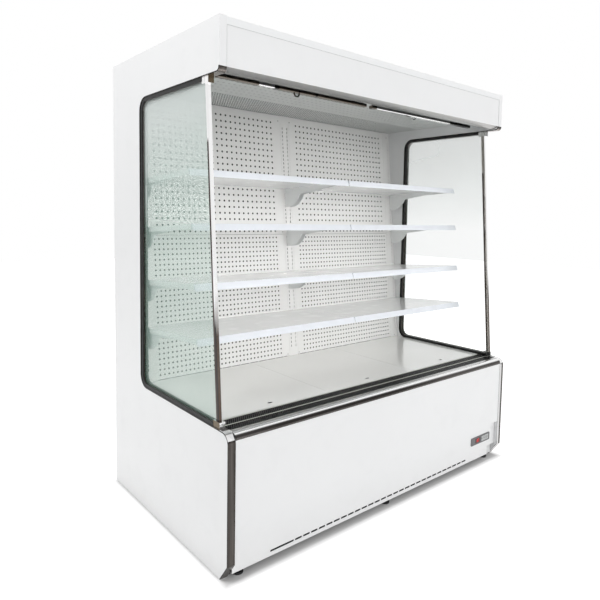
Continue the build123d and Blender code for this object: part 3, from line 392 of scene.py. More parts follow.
@dataclass(frozen=True)
class CornerCap(PolishedTrim):
    """Pressed cap over the trim's shoulder: a painted white lamp reflection, with black lips."""

    lip: float = 0.8995

    def tone(self, recipe: Recipe, streaks: Tap) -> Tap:
        """Return the cap's painted reflection."""
        # Painted reflection: white lamps in streaks, near-black past the lip.
        colour = recipe.blend(streaks, grey(0.72), grey(0.90))
        return recipe.blend(abs(recipe.axes()[0]).above(self.lip, 0.0004), colour, grey(0.010))


@dataclass(frozen=True)
class GlassClip(PolishedTrim):
    """Clip of the end glass in painted light: painted shade on the upper clip's front and the lower
    clips' ends, else a painted white highlight.

    The painted shade is brown on the left clips and grey on the right ones.
    """

    left_shade: Colour = (0.115, 0.090, 0.060)

    def tone(self, recipe: Recipe, streaks: Tap) -> Tap:
        """Return the clip's painted shade and highlight."""
        across, _, height = recipe.axes()
        outward, forward, _ = recipe.facing()
        # Painted shade on the shaded faces, a painted white highlight on the rest.
        upper = height.above(1.2, 0.1)
        shaded = upper * forward.below(-0.7, 0.2) + (1.0 - upper) * abs(outward).above(0.7, 0.2)
        shade = recipe.blend(across.above(0.0, 0.1), self.left_shade, grey(0.26))
        return recipe.blend(shaded, recipe.blend(streaks, grey(0.70), grey(0.92)), shade)


@dataclass(frozen=True)
class EdgeStrip(PolishedTrim):
    """Strip on the raked front edge of the end glass.

    Its front has a painted reflection of a white lamp above lamp_foot and of a dark floor below it.
    The left strip's side has the same painted reflection and the right strip's is painted grey.
    Below line_top both have a dark rear line, which starts at the distance line behind the raked
    edge. The edge's foot is its Y and Z.
    """

    foot: Pair = (-0.4475, 0.566)
    rake: float = 0.0945 / 1.271
    line: float = 0.0085
    line_top: float = 1.61
    lamp_foot: float = 0.98
    floor: Colour = (0.075, 0.055, 0.045)
    line_colour: Colour = (0.045, 0.028, 0.024)
    right_side: Colour = (0.46, 0.44, 0.41)

    def tone(self, recipe: Recipe, streaks: Tap) -> Tap:
        """Return the strip's painted reflection."""
        across, along, height = recipe.axes()
        behind = along - (self.foot[0] + (height - self.foot[1]) * self.rake)
        rear = behind.above(self.line, 0.002) * height.below(self.line_top, 0.02)
        # Painted reflection: a white lamp above lamp_foot, a dark floor below it.
        front = recipe.blend(height.above(self.lamp_foot, 0.16), self.floor, grey(0.88))
        return recipe.layers(
            recipe.blend(height.above(self.lamp_foot, 0.10), grey(0.010), grey(0.85)),
            (rear, self.line_colour),
            (across.above(0.0, 0.1) * (1.0 - rear), self.right_side),
            (recipe.facing()[1].below(-0.6, 0.2), front),
            (streaks * 0.05, grey(0.60)),
        )


@dataclass(frozen=True)
class NoseSkin(PolishedTrim):
    """Rounded bumper in painted reflections: grey flat above turn, white highlight above edge,
    near-black front.
    """

    turn: float = 0.5655
    edge: float = 0.5580
    front_dark: Colour = (0.030, 0.027, 0.025)
    front_bright: Colour = (0.120, 0.112, 0.108)

    def tone(self, recipe: Recipe, streaks: Tap) -> Tap:
        """Return the bumper's painted reflection."""
        across, _, height = recipe.axes()
        # Painted reflection by height: grey on the flat, a white highlight on the bend, near-black
        # on the front.
        flat = recipe.blend(across.above(0.33, 0.10), grey(0.36), grey(0.50))
        return recipe.layers(
            recipe.blend(streaks, self.front_dark, self.front_bright),
            (height.above(self.edge, 0.004), grey(0.88)),
            (height.above(self.turn, 0.0006), recipe.blend(streaks * 0.35, flat, grey(0.52))),
        )


@dataclass(frozen=True)
class PullBarSkin(PolishedTrim):
    """Pull bar in painted reflections: brown on the left with one lamp highlight, white along most
    of the right blind.

    A patch is its first X, its last X and its grey level; the bright patches are painted lamp
    highlights.
    """

    dark: Colour = (0.095, 0.078, 0.060)
    bright: Colour = (0.20, 0.175, 0.150)
    patches: tuple[tuple[float, float, float], ...] = (
        (-0.629, -0.552, 0.86),
        (-0.552, -0.530, 0.012),
        (-0.427, -0.421, 0.020),
        (-0.334, -0.323, 0.012),
        (0.050, 0.630, 0.84),
        (0.630, 0.860, 0.030),
    )

    def tone(self, recipe: Recipe, streaks: Tap) -> Tap:
        """Return the bar's painted reflection, patch by patch along X."""
        across, _, _ = recipe.axes()
        # Painted reflections laid along X: bright lamp highlights and darker bands.
        over = ((across.within(low, high, 0.004), grey(level)) for low, high, level in self.patches)
        return recipe.layers(super().tone(recipe, streaks), *over)


@dataclass(frozen=True)
class RimmedGasket(Coating):
    """Black glazing rubber that carries a polished strip round the window's rim.

    The strip shows between two black lips, low and high. Its colour is a painted reflection of a
    grey-brown room under the head, a lamp on the inner half of the left upright and a dark floor
    along the foot.
    It is pieced together where Y is the first of its joints and where Z is the second.
    """

    low: float = 0.8745
    high: float = 0.8903
    joints: Pair = (0.160, 1.779)

    def inputs(self, recipe: Recipe) -> Inputs:
        """Return the gasket's inputs."""
        across, along, height = recipe.axes()
        up, width = recipe.facing()[2], abs(across)
        streaks = recipe.noise(1.0, 3.0, (40.0, 2.0, 2.0)).above(0.5, 0.3)
        head = recipe.blend(streaks, (0.20, 0.175, 0.165), (0.28, 0.25, 0.235))
        foot = recipe.blend(streaks, (0.035, 0.030, 0.025), (0.065, 0.056, 0.046))
        joints = zip((along, height), self.joints)
        # Painted reflections on the strip, by side, height and facing; the dark joint lines are
        # real.
        mirrored = recipe.layers(
            recipe.blend(across.above(0.0, 0.1), grey(0.55), (0.030, 0.026, 0.023)),
            (width.above(0.881, 0.006), (0.115, 0.095, 0.085)),
            (height.below(1.30, 0.25), (0.060, 0.050, 0.040)),
            (up.below(-0.5, 0.3), head),
            (up.above(0.5, 0.3), foot),
            *((abs(at - joint).below(0.0016, 0.0008), grey(0.02)) for at, joint in joints),
        )
        strip = width.within(self.low, self.high, 0.0008)
        rubber = recipe.blend(recipe.noise(35.0, 4.0).above(0.6, 0.3), grey(0.008), grey(0.020))
        return dict(
            Base_Color=recipe.blend(strip, rubber, mirrored),
            Metallic=strip,
            Roughness=0.60 - strip * 0.44,
            Normal=recipe.bump(recipe.noise(700.0, 2.0), 0.00003),
        )


@dataclass(frozen=True)
class SatinMetal(Coating):
    """Brushed or anodised metal with a fine grain along one axis."""

    colour: Colour
    roughness: float = 0.36
    grain: Point = (3.0, 900.0, 900.0)

    def inputs(self, recipe: Recipe) -> Inputs:
        """Return the metal's inputs."""
        lines, clouds = recipe.noise(1.0, 2.0, self.grain), recipe.noise(6.0, 3.0)
        return dict(
            Base_Color=recipe.shades(lines, self.colour, 0.86, 1.06),
            Metallic=1.0,
            Roughness=self.roughness + (lines - 0.5) * 0.12 + (clouds - 0.5) * 0.10,
            Normal=recipe.bump(lines, 0.00002),
        )


@dataclass(frozen=True)
class SpangledZinc(Coating):
    """Galvanised sheet with its crystal spangle and dull patches."""

    colour: Colour
    spangle: float = 85.0

    def inputs(self, recipe: Recipe) -> Inputs:
        """Return the zinc's inputs."""
        crystals, dull = recipe.grains(self.spangle), recipe.noise(7.0, 4.0)
        colour = recipe.shades(crystals, self.colour, 0.80, 1.12)
        return dict(
            Base_Color=recipe.blend(dull.above(0.58, 0.2) * 0.3, colour, tinted(self.colour, 0.7)),
            Metallic=0.85,
            Roughness=0.34 + crystals * 0.14 + dull * 0.12,
            Normal=recipe.bump(crystals, 0.00004),
        )


@dataclass(frozen=True)
class MouldedPlastic(Coating):
    """Injection-moulded plastic with a fine spark texture and rubbed patches."""

    colour: Colour
    roughness: float = 0.42
    texture: float = 900.0
    depth: float = 0.00003
    coat: float = 0.0

    def inputs(self, recipe: Recipe) -> Inputs:
        """Return the plastic's inputs."""
        spark, rubbed = recipe.noise(self.texture, 2.0), recipe.noise(22.0, 3.0)
        return dict(
            Base_Color=recipe.shades(rubbed, self.colour, 0.95, 1.05),
            Roughness=self.roughness + (rubbed - 0.5) * 0.12 + (spark - 0.5) * 0.06,
            Coat_Weight=self.coat,
            Coat_Roughness=0.08,
            Normal=recipe.bump(spark, self.depth),
        )


@dataclass(frozen=True)
class FloatGlass(Coating):
    """Clear pane: pale green, mirror-like at a glancing angle, whiter and less clear towards the
    top, green rim.
    """

    face: Colour = (0.50, 0.70, 0.62)
    top_colour: Colour = (0.86, 0.93, 0.91)
    edge: Colour = (0.16, 0.42, 0.33)

    def inputs(self, recipe: Recipe) -> Inputs:
        """Return the glass's inputs."""
        rim = abs(recipe.facing()[0]).below(0.5, 0.2)
        glance = recipe.tap("ShaderNodeFresnel", {"IOR": 1.45})
        haze = recipe.noise(9.0, 4.0).above(0.62, 0.3)
        top = recipe.axes()[2].above(1.50, 0.45)
        return dict(
            Base_Color=recipe.blend(rim, recipe.blend(top, self.face, self.top_colour), self.edge),
            Roughness=0.01 + haze * 0.02,
            Alpha=(0.030 + glance * 0.34 + haze * 0.004 + top * 0.22 + rim * 0.75).least(1.0),
            IOR=1.5,
        )


@dataclass(frozen=True)
class WovenBlind(Coating):
    """Coated woven blind fabric, seen as crossed threads with a soft sheen."""

    colour: Colour
    threads: float = 900.0

    def inputs(self, recipe: Recipe) -> Inputs:
        """Return the fabric's inputs."""
        across, _, height = recipe.axes()
        warp, weft = (abs((axis * (self.threads * pi)).sine()) for axis in (across, height))
        weave = warp.most(weft)
        soil = recipe.noise(16.0, 4.0)
        return dict(
            Base_Color=recipe.shades(weave * 0.7 + soil * 0.3, self.colour, 0.72, 1.08),
            Roughness=0.7 + (weave - 0.5) * 0.2,
            Normal=recipe.bump(weave, 0.0002),
        )


@dataclass(frozen=True)
class GlowingDigit(Coating):
    """Lit segment of the temperature display."""

    colour: Colour = (0.85, 0.012, 0.020)

    def inputs(self, recipe: Recipe) -> Inputs:
        """Return the segment's inputs."""
        unevenness = recipe.noise(500.0, 2.0)
        return dict(
            Base_Color=recipe.shades(unevenness, self.colour, 0.6, 1.0),
            Roughness=0.5,
            Specular_IOR_Level=0.1,
            Emission_Color=recipe.shades(unevenness, self.colour, 0.8, 1.0),
            Emission_Strength=0.9,
        )


# The roof and the rear are duller and less even than the other outer panels.
OUTER_SKIN = {"roughness": 0.38, "coat": 0.2, "drift": 0.05}


class Finish(Enum):
    """Every finish on the cabinet, one per material slot or part of one."""

    OUTER = PowderCoat("outer_paint", "white_outer", (0.84, 0.845, 0.85), 0.30, 0.35, toe=0.10)
    # The roof panel below Z 2.0, inside the canopy, is painted near-black as painted shade.
    ROOF = PowderCoat(
        "roof_paint", "white_outer", (0.86, 0.87, 0.875), **OUTER_SKIN, painted_shade_below=(2, 2.0)
    )
    # The rear skin's inner side, in front of Y 0.5, is painted near-black as painted shade in the
    # duct behind the punched wall.
    REAR = PowderCoat(
        "rear_paint", "white_outer", (0.85, 0.86, 0.865), **OUTER_SKIN, painted_shade_below=(1, 0.5)
    )
    DUCT = PowderCoat("duct_paint", "white_inner", (0.90, 0.895, 0.88), 0.34, 0.2)
    # Greyer than the other inner paint: painted shade under the canopy.
    CEILING = PowderCoat("ceiling_paint", "white_inner", (0.72, 0.74, 0.725), 0.32, 0.25)
    DECK = PowderCoat("deck_paint", "white_inner", (0.91, 0.91, 0.89), 0.16, 0.6, peel=0.00001)
    SHELF = PowderCoat("shelf_paint", "white_inner", (0.90, 0.905, 0.90), 0.20, 0.5)
    BRACKET = PowderCoat("bracket_paint", "white_inner", (0.92, 0.935, 0.93), 0.30, 0.3)
    TRIM = EdgeTrim("edge_trim")
    CAP = CornerCap("corner_cap")
    CLIP = GlassClip("glass_clip")
    STRIP = EdgeStrip("glass_edge_strip")
    NOSE = NoseSkin("nose_skin", run=(1.2, 50.0, 50.0))
    BAR = PullBarSkin("pull_bar_skin", "satin_aluminium", run=(1.2, 60.0, 60.0))
    SATIN = SatinMetal("satin_metal", "satin_aluminium", (0.55, 0.56, 0.57))
    # A darker copy of the satin aluminium: painted shade on the canopy lip.
    LIP = SatinMetal("lip_aluminium", "satin_aluminium", (0.42, 0.414, 0.405))
    MESH_RAIL = SatinMetal("mesh_rail", "satin_aluminium", (0.60, 0.62, 0.56), 0.3)
    MESH = SatinMetal("honeycomb_foil", "satin_aluminium", (0.10, 0.10, 0.10), 0.3)
    # Galvanised sheet darkened to near-black: painted shade in the hollows behind the punched wall
    # and ceiling.
    TANK = SpangledZinc("tank_sheet", "galvanised", (0.10, 0.105, 0.11))
    GALVANISED = SpangledZinc("galvanised_sheet", "galvanised", (0.60, 0.62, 0.63))
    ZINC = SpangledZinc("zinc_fastener", "zinc_steel", (0.66, 0.66, 0.64), 600.0)
    GASKET = RimmedGasket("rimmed_gasket", "black_rubber")
    GLASS = FloatGlass("clear_float_glass", "clear_glass")
    GREY_PLASTIC = MouldedPlastic("grey_moulding", "grey_plastic", (0.36, 0.37, 0.38))
    BEZEL = MouldedPlastic("bezel_plastic", "grey_plastic", (0.115, 0.115, 0.120), 0.38)
    KEY = MouldedPlastic("key_plastic", "grey_plastic", (0.52, 0.53, 0.53), 0.5)
    RAIL = MouldedPlastic("rail_plastic", "white_plastic", (0.84, 0.87, 0.92), 0.22, coat=0.5)
    BLACK = MouldedPlastic("black_moulding", "black_plastic", (0.018, 0.018, 0.020), 0.4)
    LENS = MouldedPlastic("display_lens", "red_lens", (0.030, 0.003, 0.003), 0.30, 40.0, 0.00001)
    MACHINE = PowderCoat("machine_paint", "black_paint", (0.030, 0.030, 0.033), 0.36, 0.3)
    # Left of X 0.79 the base frame is painted near-black: painted shade seen through the kick slots.
    # The rest is light grey.
    FRAME = PowderCoat(
        "frame_paint", "black_paint", (0.72, 0.73, 0.73), 0.36, 0.3, painted_shade_below=(0, 0.79)
    )
    BLIND = WovenBlind("woven_blind", "blind_fabric", (0.70, 0.71, 0.70))
    DIGIT = GlowingDigit("lit_digit", "red_lens")

    @property
    def shader(self) -> bpy.types.Material:
        """The material, made on first use."""
        return bpy.data.materials.get(self.value.name) or self.value.material()


# The CAD nodes that each finish coats. The others are stood for by pieces made below.
COATS = {
    Finish.OUTER: "side_panel_left side_panel_right canopy_fascia front_panel kick_panel",
    Finish.ROOF: "roof_panel",
    Finish.REAR: "insulated_back",
    Finish.LIP: "canopy_lip",
    Finish.TANK: "insulated_tank canopy_tray evaporator_fan_plate",
    Finish.GALVANISED: "rear_cover upright_standoffs deck_rails condenser_shroud",
    Finish.GLASS: "side_glass",
    Finish.GASKET: "window_gaskets",
    Finish.TRIM: "edge_trims",
    Finish.CAP: "corner_caps",
    Finish.CLIP: "glass_clips",
    Finish.STRIP: "glass_edge_strips",
    Finish.DUCT: "uprights",
    Finish.SHELF: "shelf_level_1 shelf_level_2 shelf_level_3 shelf_level_4",
    Finish.BRACKET: "shelf_brackets",
    Finish.RAIL: "ticket_rails",
    Finish.DECK: "deck_panel_1 deck_panel_2 deck_panel_3",
    Finish.NOSE: "nose_bumper",
    Finish.BEZEL: "controller_bezel",
    Finish.LENS: "controller_display",
    Finish.KEY: "set_key up_key defrost_key down_key",
    Finish.GREY_PLASTIC: "blind_cassettes",
    Finish.BLIND: "blind_roller_left blind_roller_right",
    Finish.BAR: "pull_bar_left pull_bar_right",
    Finish.SATIN: "evaporator_coil condenser_coil",
    Finish.BLACK: "evaporator_fan_left evaporator_fan_right condenser_fan "
    "condensate_pan mains_gland levelling_feet",
    Finish.MACHINE: "compressor",
    Finish.FRAME: "base_frame",
}


def coat_nodes() -> None:
    """Coat the CAD nodes, in the slots that they already have."""
    for finish, names in COATS.items():
        for name in names.split():
            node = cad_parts[name]
            if not node.material_slots:
                node.data.materials.append(finish.shader)
            for place in node.material_slots:
                place.material = finish.shader


# --- Surfaces worked out with numpy ---


def link(name: str, data: bpy.types.ID) -> bpy.types.Object:
    """Put an object with the given data into the scene."""
    made = bpy.data.objects.new(name, data)
    bpy.context.scene.collection.objects.link(made)
    return made


def add_piece(
    name: str,
    points: np.ndarray,
    faces: Sequence[np.ndarray],
    finish: Finish,
    body: str | None = "cabinet",
    smooth: bool = False,
) -> bpy.types.Object:
    """Make one object from whole arrays and let it ride on a body.

    Args:
        name: the object's name.
        points: n by 3 array of places in metres.
        faces: arrays of vertex numbers, one array for each face size.
        finish: what it is coated with.
        body: the body that it moves with, or None where the caller settles that.
        smooth: whether its faces are shaded smooth.

    Returns:
        The object, at the origin.
    """
    used = np.unique(np.concatenate([part.ravel() for part in faces]))
    number = np.zeros(len(points), int)
    number[used] = np.arange(len(used))
    mesh = bpy.data.meshes.new(name)
    corners = [face for part in faces for face in number[part].tolist()]
    mesh.from_pydata(points[used].tolist(), [], corners)
    mesh.polygons.foreach_set("use_smooth", np.full(len(corners), smooth))
    mesh.materials.append(finish.shader)
    piece = link(name, mesh)
    if body:
        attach(piece, body)
    return piece


def thicken(piece: bpy.types.Object, gauge: float) -> None:
    """Give a face its gauge, away from its outward side."""
    wall = piece.modifiers.new("gauge", "SOLIDIFY")
    wall.thickness = gauge
    wall.offset = -1.0


def grid_faces(rows: int, columns: int, round_columns: bool = False) -> np.ndarray:
    """Return the quads of a grid of points numbered row by row.

    Args:
        rows: points along the first parameter.
        columns: points along the second parameter.
        round_columns: whether the last column joins the first.
    """
    first = np.arange(rows - 1)[:, None]
    second = np.arange(columns if round_columns else columns - 1)[None, :]
    after = (second + 1) % columns
    below, above = first * columns, (first + 1) * columns
    corners = (below + second, below + after, above + after, above + second)
    return np.stack(corners, -1).reshape(-1, 4)


def ring_quads(outer: np.ndarray, inner: np.ndarray) -> np.ndarray:
    """Return the quads between outer rings of vertex numbers and inner rings of as many."""
    quads = (outer, np.roll(outer, -1, 1), np.roll(inner, -1, 1), inner)
    return np.stack(quads, -1).reshape(-1, 4)


def prism(outline: np.ndarray, base: Point, u: Point, v: Point, height: float) -> Shape:
    """Raise a flat outline into a closed prism.

    Each point is base + u * first + v * second, and the far side adds height along u x v.

    Args:
        outline: n by 2 points, counter-clockwise.
        base: where the outline's origin lies.
        u: direction of its first number.
        v: direction of its second number.
        height: how far it is raised.

    Returns:
        The points and the face arrays.
    """
    u, v = np.array(u), np.array(v)
    flat = np.array(base) + outline[:, :1] * u + outline[:, 1:] * v
    points = np.concatenate([flat, flat + np.cross(u, v) * height])
    ring = np.arange(len(outline))[None, :]
    return points, [ring_quads(ring, ring + len(outline)), ring[:, ::-1], ring + len(outline)]


def swept(profile: np.ndarray, start: float, end: float) -> Shape:
    """Carry a closed YZ profile along X from start to end, with both ends closed.

    Args:
        profile: n by 2 points of Y and Z, counter-clockwise seen from +X.
        start: X of the first end.
        end: X of the second end.
    """
    return prism(profile, (start, 0.0, 0.0), (0.0, 1.0, 0.0), (0.0, 0.0, 1.0), end - start)


def raised(outline: np.ndarray, base: Point, height: float) -> Shape:
    """Raise an outline of X and Z towards the front, from base by height."""
    return prism(outline, base, (1.0, 0.0, 0.0), (0.0, 0.0, 1.0), height)


def merged(parts: Iterable[Shape]) -> Shape:
    """Put several closed shapes into one set of points and faces."""
    points, faces, count = [], [], 0
    for part_points, part_faces in parts:
        points.append(part_points)
        faces.extend(part + count for part in part_faces)
        count += len(part_points)
    return np.concatenate(points), faces


@dataclass(frozen=True)
class Plane:
    """A flat face in the cabinet's frame; its outward side is u x v."""

    origin: Point
    u: Point
    v: Point

    @property
    def normal(self) -> np.ndarray:
        """The outward direction."""
        return np.cross(self.u, self.v)

    def at(self, across: np.ndarray, up: np.ndarray) -> np.ndarray:
        """Return the places at distances across and up from the origin, as n by 3."""
        u, v = np.array(self.u), np.array(self.v)
        return np.array(self.origin) + across.reshape(-1, 1) * u + up.reshape(-1, 1) * v


@dataclass(frozen=True)
class Screws:
    """Domed screw heads, one at every crossing of lines across and up on a plane.

    A head's profile is turned about the normal: reach out from the axis and rise above the
    face, both in radii. Its middle is pressed in where the driver fits.
    """

    name: str
    plane: Plane
    across: Sequence[float]
    up: Sequence[float]
    radius: float = 0.0042
    sides: int = 12
    reach: Numbers = (1.0, 1.0, 0.86, 0.5, 0.32, 0.2)
    rise: Numbers = (-0.3, 0.15, 0.36, 0.45, 0.45, 0.1)

    def build(self) -> None:
        """Shape the heads and set them."""
        places = self.plane.at(*np.meshgrid(self.across, self.up))
        axis = self.plane.normal
        side = np.cross(axis, (0.0, 0.0, 1.0))
        side /= np.linalg.norm(side)
        turn = np.arange(self.sides) * 2 * pi / self.sides
        ring = np.cos(turn)[:, None] * side + np.sin(turn)[:, None] * np.cross(axis, side)
        profile = np.array([self.reach, self.rise]) * self.radius
        reach, rise = profile[:, :, None, None]
        points = places[:, None, None, :] + reach * ring + rise * axis
        rows = len(self.reach)
        shift = np.arange(len(places))[:, None] * rows * self.sides
        quads = grid_faces(rows, self.sides, round_columns=True)
        faces = (quads[None] + shift[:, :, None]).reshape(-1, 4)
        rim = np.arange(self.sides)[None]
        ends = [rim[:, ::-1] + shift, rim + (rows - 1) * self.sides + shift]
        add_piece(self.name, points.reshape(-1, 3), [faces, *ends], Finish.ZINC, smooth=True)


@dataclass(frozen=True)
class HoleField:
    """Rows of round holes punched on a regular pitch."""

    first: Pair
    pitch: Pair
    count: tuple[int, int]
    radius: float
    staggered: bool = False


@dataclass(frozen=True)
class PunchedSheet:
    """A flat sheet with one field of holes, cut from a lattice of half pitches."""

    name: str
    plane: Plane
    low: Pair
    high: Pair
    holes: HoleField
    gauge: float = 0.0012

    def lines(self, axis: int) -> np.ndarray:
        """Return the lattice lines along one axis: both edges and every half pitch between."""
        half = self.holes.pitch[axis] / 2
        steps = np.arange(2 * self.holes.count[axis] + 1) * half
        return np.array([self.low[axis], *(self.holes.first[axis] - half + steps), self.high[axis]])

    def surface(self) -> Shape:
        """Lay out the sheet's face.

        The lattice gives the plain quads. A hole takes two by two of them, and eight quads
        join their outer points to eight points on the hole's circle.
        """
        across, up = self.lines(0), self.lines(1)
        columns, rows = len(across), len(up)
        row, column = np.indices(self.holes.count[::-1])
        odd = row % 2 * self.holes.staggered
        keep = column < self.holes.count[0] - odd
        left = (1 + 2 * column + odd)[keep][:, None]
        foot = (1 + 2 * row)[keep][:, None]
        around_u = np.array([0, 1, 2, 2, 2, 1, 0, 0])
        around_v = np.array([0, 0, 0, 1, 2, 2, 2, 1])
        outer = (foot + around_v) * columns + left + around_u
        angle = radians(-135.0) + np.arange(8) * pi / 4
        hole_u = across[left + 1] + self.holes.radius * np.cos(angle)
        hole_v = up[foot + 1] + self.holes.radius * np.sin(angle)
        inner = rows * columns + np.arange(hole_u.size).reshape(-1, 8)
        covered = np.zeros((rows - 1, columns - 1), bool)
        covered[foot + [0, 0, 1, 1], left + [0, 1, 0, 1]] = True
        plain = grid_faces(rows, columns)[~covered.ravel()]
        points = [self.plane.at(*np.meshgrid(across, up)), self.plane.at(hole_u, hole_v)]
        return np.concatenate(points), [plain, ring_quads(outer, inner)]

    def build(self, finish: Finish) -> bpy.types.Object:
        """Make the sheet and give it its gauge behind the face."""
        piece = add_piece(self.name, *self.surface(), finish)
        thicken(piece, self.gauge)
        return piece


def honeycomb(low: Pair, high: Pair, cell: float, web: float, top: float) -> Shape:
    """Lay out a band of six-sided cells that share their walls.

    Cell centres step by cell along X, and every other row is shifted by half a cell. A cell's
    outer corners lie cell / sqrt(3) from its centre and its inner ones web / 2 closer to the
    flats, so that neighbours meet exactly.

    Args:
        low: lowest X and Y that the centres may reach.
        high: highest X and Y that the centres may reach.
        cell: distance between neighbouring centres.
        web: width of the wall between two cells.
        top: Z of the face.
    """
    row_step = cell * sqrt(3) / 2
    counts = int((high[1] - low[1]) / row_step) + 1, int((high[0] - low[0]) / cell)
    row, column = (part.reshape(-1, 1) for part in np.indices(counts))
    centre_x = low[0] + cell * (column + 0.5 * (row % 2))
    centre_y = low[1] + row_step * row
    angle = radians(30.0) + np.arange(6) * pi / 3
    reach = cell / sqrt(3)
    rings = []
    for radius in (reach, reach * (1.0 - web / cell)):
        ring_x = centre_x + radius * np.cos(angle)
        ring_y = centre_y + radius * np.sin(angle)
        rings.append(np.stack([ring_x, ring_y, np.full_like(ring_x, top)], -1).reshape(-1, 3))
    every = np.concatenate(rings)
    _, first, number = np.unique(np.round(every, 6), axis=0, return_index=True, return_inverse=True)
    return every[first], [ring_quads(*number.reshape(2, -1, 6))]


def shell(grid: np.ndarray, gauge: float) -> Shape:
    """Close a grid of points into a thin shell.

    The second layer is the first one moved back by gauge along Y, and quads join the rims.

    Args:
        grid: rows by columns by 3 points.
        gauge: thickness.
    """
    rows, columns = grid.shape[:2]
    count = rows * columns
    faces = grid_faces(rows, columns)
    number = np.arange(count).reshape(rows, columns)
    rim = np.concatenate([number[0, :-1], number[:-1, -1], number[-1, :0:-1], number[:0:-1, 0]])
    front = grid.reshape(-1, 3)
    points = np.concatenate([front, front + np.array([0.0, gauge, 0.0])])
    return points, [faces, faces[:, ::-1] + count, ring_quads(rim[None] + count, rim[None])]


# --- Sub-assemblies ---


class Side(Enum):
    """The two ends of the cabinet, as the sign of X."""

    LEFT = -1
    RIGHT = 1

    @property
    def word(self) -> str:
        """The end's name in lower case."""
        return self.name.lower()


@dataclass(frozen=True)
class RearScrews:
    """Screws round the rear skin and the vented rear cover, given by their Y and rows of Z."""

    skin: float = 0.5230
    skin_rows: Numbers = (0.365, 1.17, 1.98)
    cover: float = 0.5017
    cover_rows: Numbers = (0.035, 0.315)
    half_width: float = 0.84
    columns: int = 7

    def build(self) -> None:
        """Set both groups of screws."""
        across = np.linspace(-self.half_width, self.half_width, self.columns)
        groups = {"skin": (self.skin, self.skin_rows), "cover": (self.cover, self.cover_rows)}
        for name, (depth, rows) in groups.items():
            face = Plane((0.0, depth, 0.0), (-1.0, 0.0, 0.0), (0.0, 0.0, 1.0))
            Screws(f"rear_{name}_screws", face, across, rows).build()


@dataclass(frozen=True)
class DuctWall:
    """Tilted rear wall: punched air panels between slotted uprights.

    Distances across and up are measured on the face from the middle of its foot.
    """

    foot: Point = (0.0, 0.236, 0.566)
    tilt: float = 5.5
    edges: Pair = (0.0305, 0.8085)
    lower_ends: Pair = (0.001, 0.6762)
    upper_ends: Pair = (0.6774, 1.3355)
    lower_holes: HoleField = HoleField((0.0, 0.0220), (0.0221, 0.0245), (33, 27), 0.0047)
    upper_holes: HoleField = HoleField((0.0, 0.6943), (0.0286, 0.0315), (25, 20), 0.0054)
    lower_starts: Pair = (-0.7964, 0.0770)
    upper_starts: Pair = (-0.7809, 0.0809)
    screw_rows: Numbers = (0.010, 0.460, 0.690, 1.306)
    screw_columns: Numbers = (-0.8445, -0.0435, 0.0358, 0.8445)
    screw_radius: float = 0.0038

    def build(self) -> None:
        """Punch the four panels and screw them on."""
        lean = radians(self.tilt)
        face = Plane(self.foot, (1.0, 0.0, 0.0), (0.0, sin(lean), cos(lean)))
        levels = (
            ("lower", self.lower_ends, self.lower_holes, self.lower_starts),
            ("upper", self.upper_ends, self.upper_holes, self.upper_starts),
        )
        pieces = []
        for number, side in enumerate(Side):
            left, right = sorted(side.value * edge for edge in self.edges)
            for level, (low, high), holes, starts in levels:
                holes = replace(holes, first=(starts[number], holes.first[1]))
                name = f"{level}_air_panel_{side.word}"
                sheet = PunchedSheet(name, face, (left, low), (right, high), holes)
                pieces.append(sheet.build(Finish.DUCT))
        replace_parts(pieces[0], "lower_back_panels")
        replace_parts(pieces[1], "upper_back_panels")
        Screws(
            "air_panel_screws", face, self.screw_columns, self.screw_rows, self.screw_radius
        ).build()


@dataclass(frozen=True)
class CanopyCeiling:
    """Punched ceiling under the canopy, with its folded front edge.

    The sparse holes in front meet the dense ones at split. Holes are given on the face seen
    from below, where up runs towards the front.
    """

    level: float = 1.8970
    front: float = -0.2620
    split: float = 0.090
    back: float = 0.4778
    half_width: float = 0.8675
    flange: float = 0.0280
    gauge: float = 0.0012
    sheet: float = 0.0006
    sparse: HoleField = HoleField((-0.837, -0.050), (0.027, 0.045), (63, 5), 0.0062, True)
    dense: HoleField = HoleField((-0.8505, -0.359), (0.0135, 0.013), (127, 20), 0.0048, True)

    def field(self, name: str, front: float, back: float, holes: HoleField) -> bpy.types.Object:
        """Punch one field of holes between two Y."""
        down = Plane((0.0, 0.0, self.level), (1.0, 0.0, 0.0), (0.0, -1.0, 0.0))
        low, high = (-self.half_width, -back), (self.half_width, -front)
        return PunchedSheet(name, down, low, high, holes, self.sheet).build(Finish.CEILING)

    def build(self) -> None:
        """Punch both fields and fold the front edge."""
        pieces = [
            self.field("ceiling_front_field", self.front, self.split, self.sparse),
            self.field("ceiling_rear_field", self.split, self.back, self.dense),
        ]
        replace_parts(pieces[0], "ceiling_panel")
        low, high = self.level, self.level + self.flange
        front, back = self.front, self.front + self.gauge
        profile = np.array([[front, low], [back, low], [back, high], [front, high]])
        fold = swept(profile, -self.half_width, self.half_width)
        add_piece("ceiling_front_flange", *fold, Finish.CEILING)


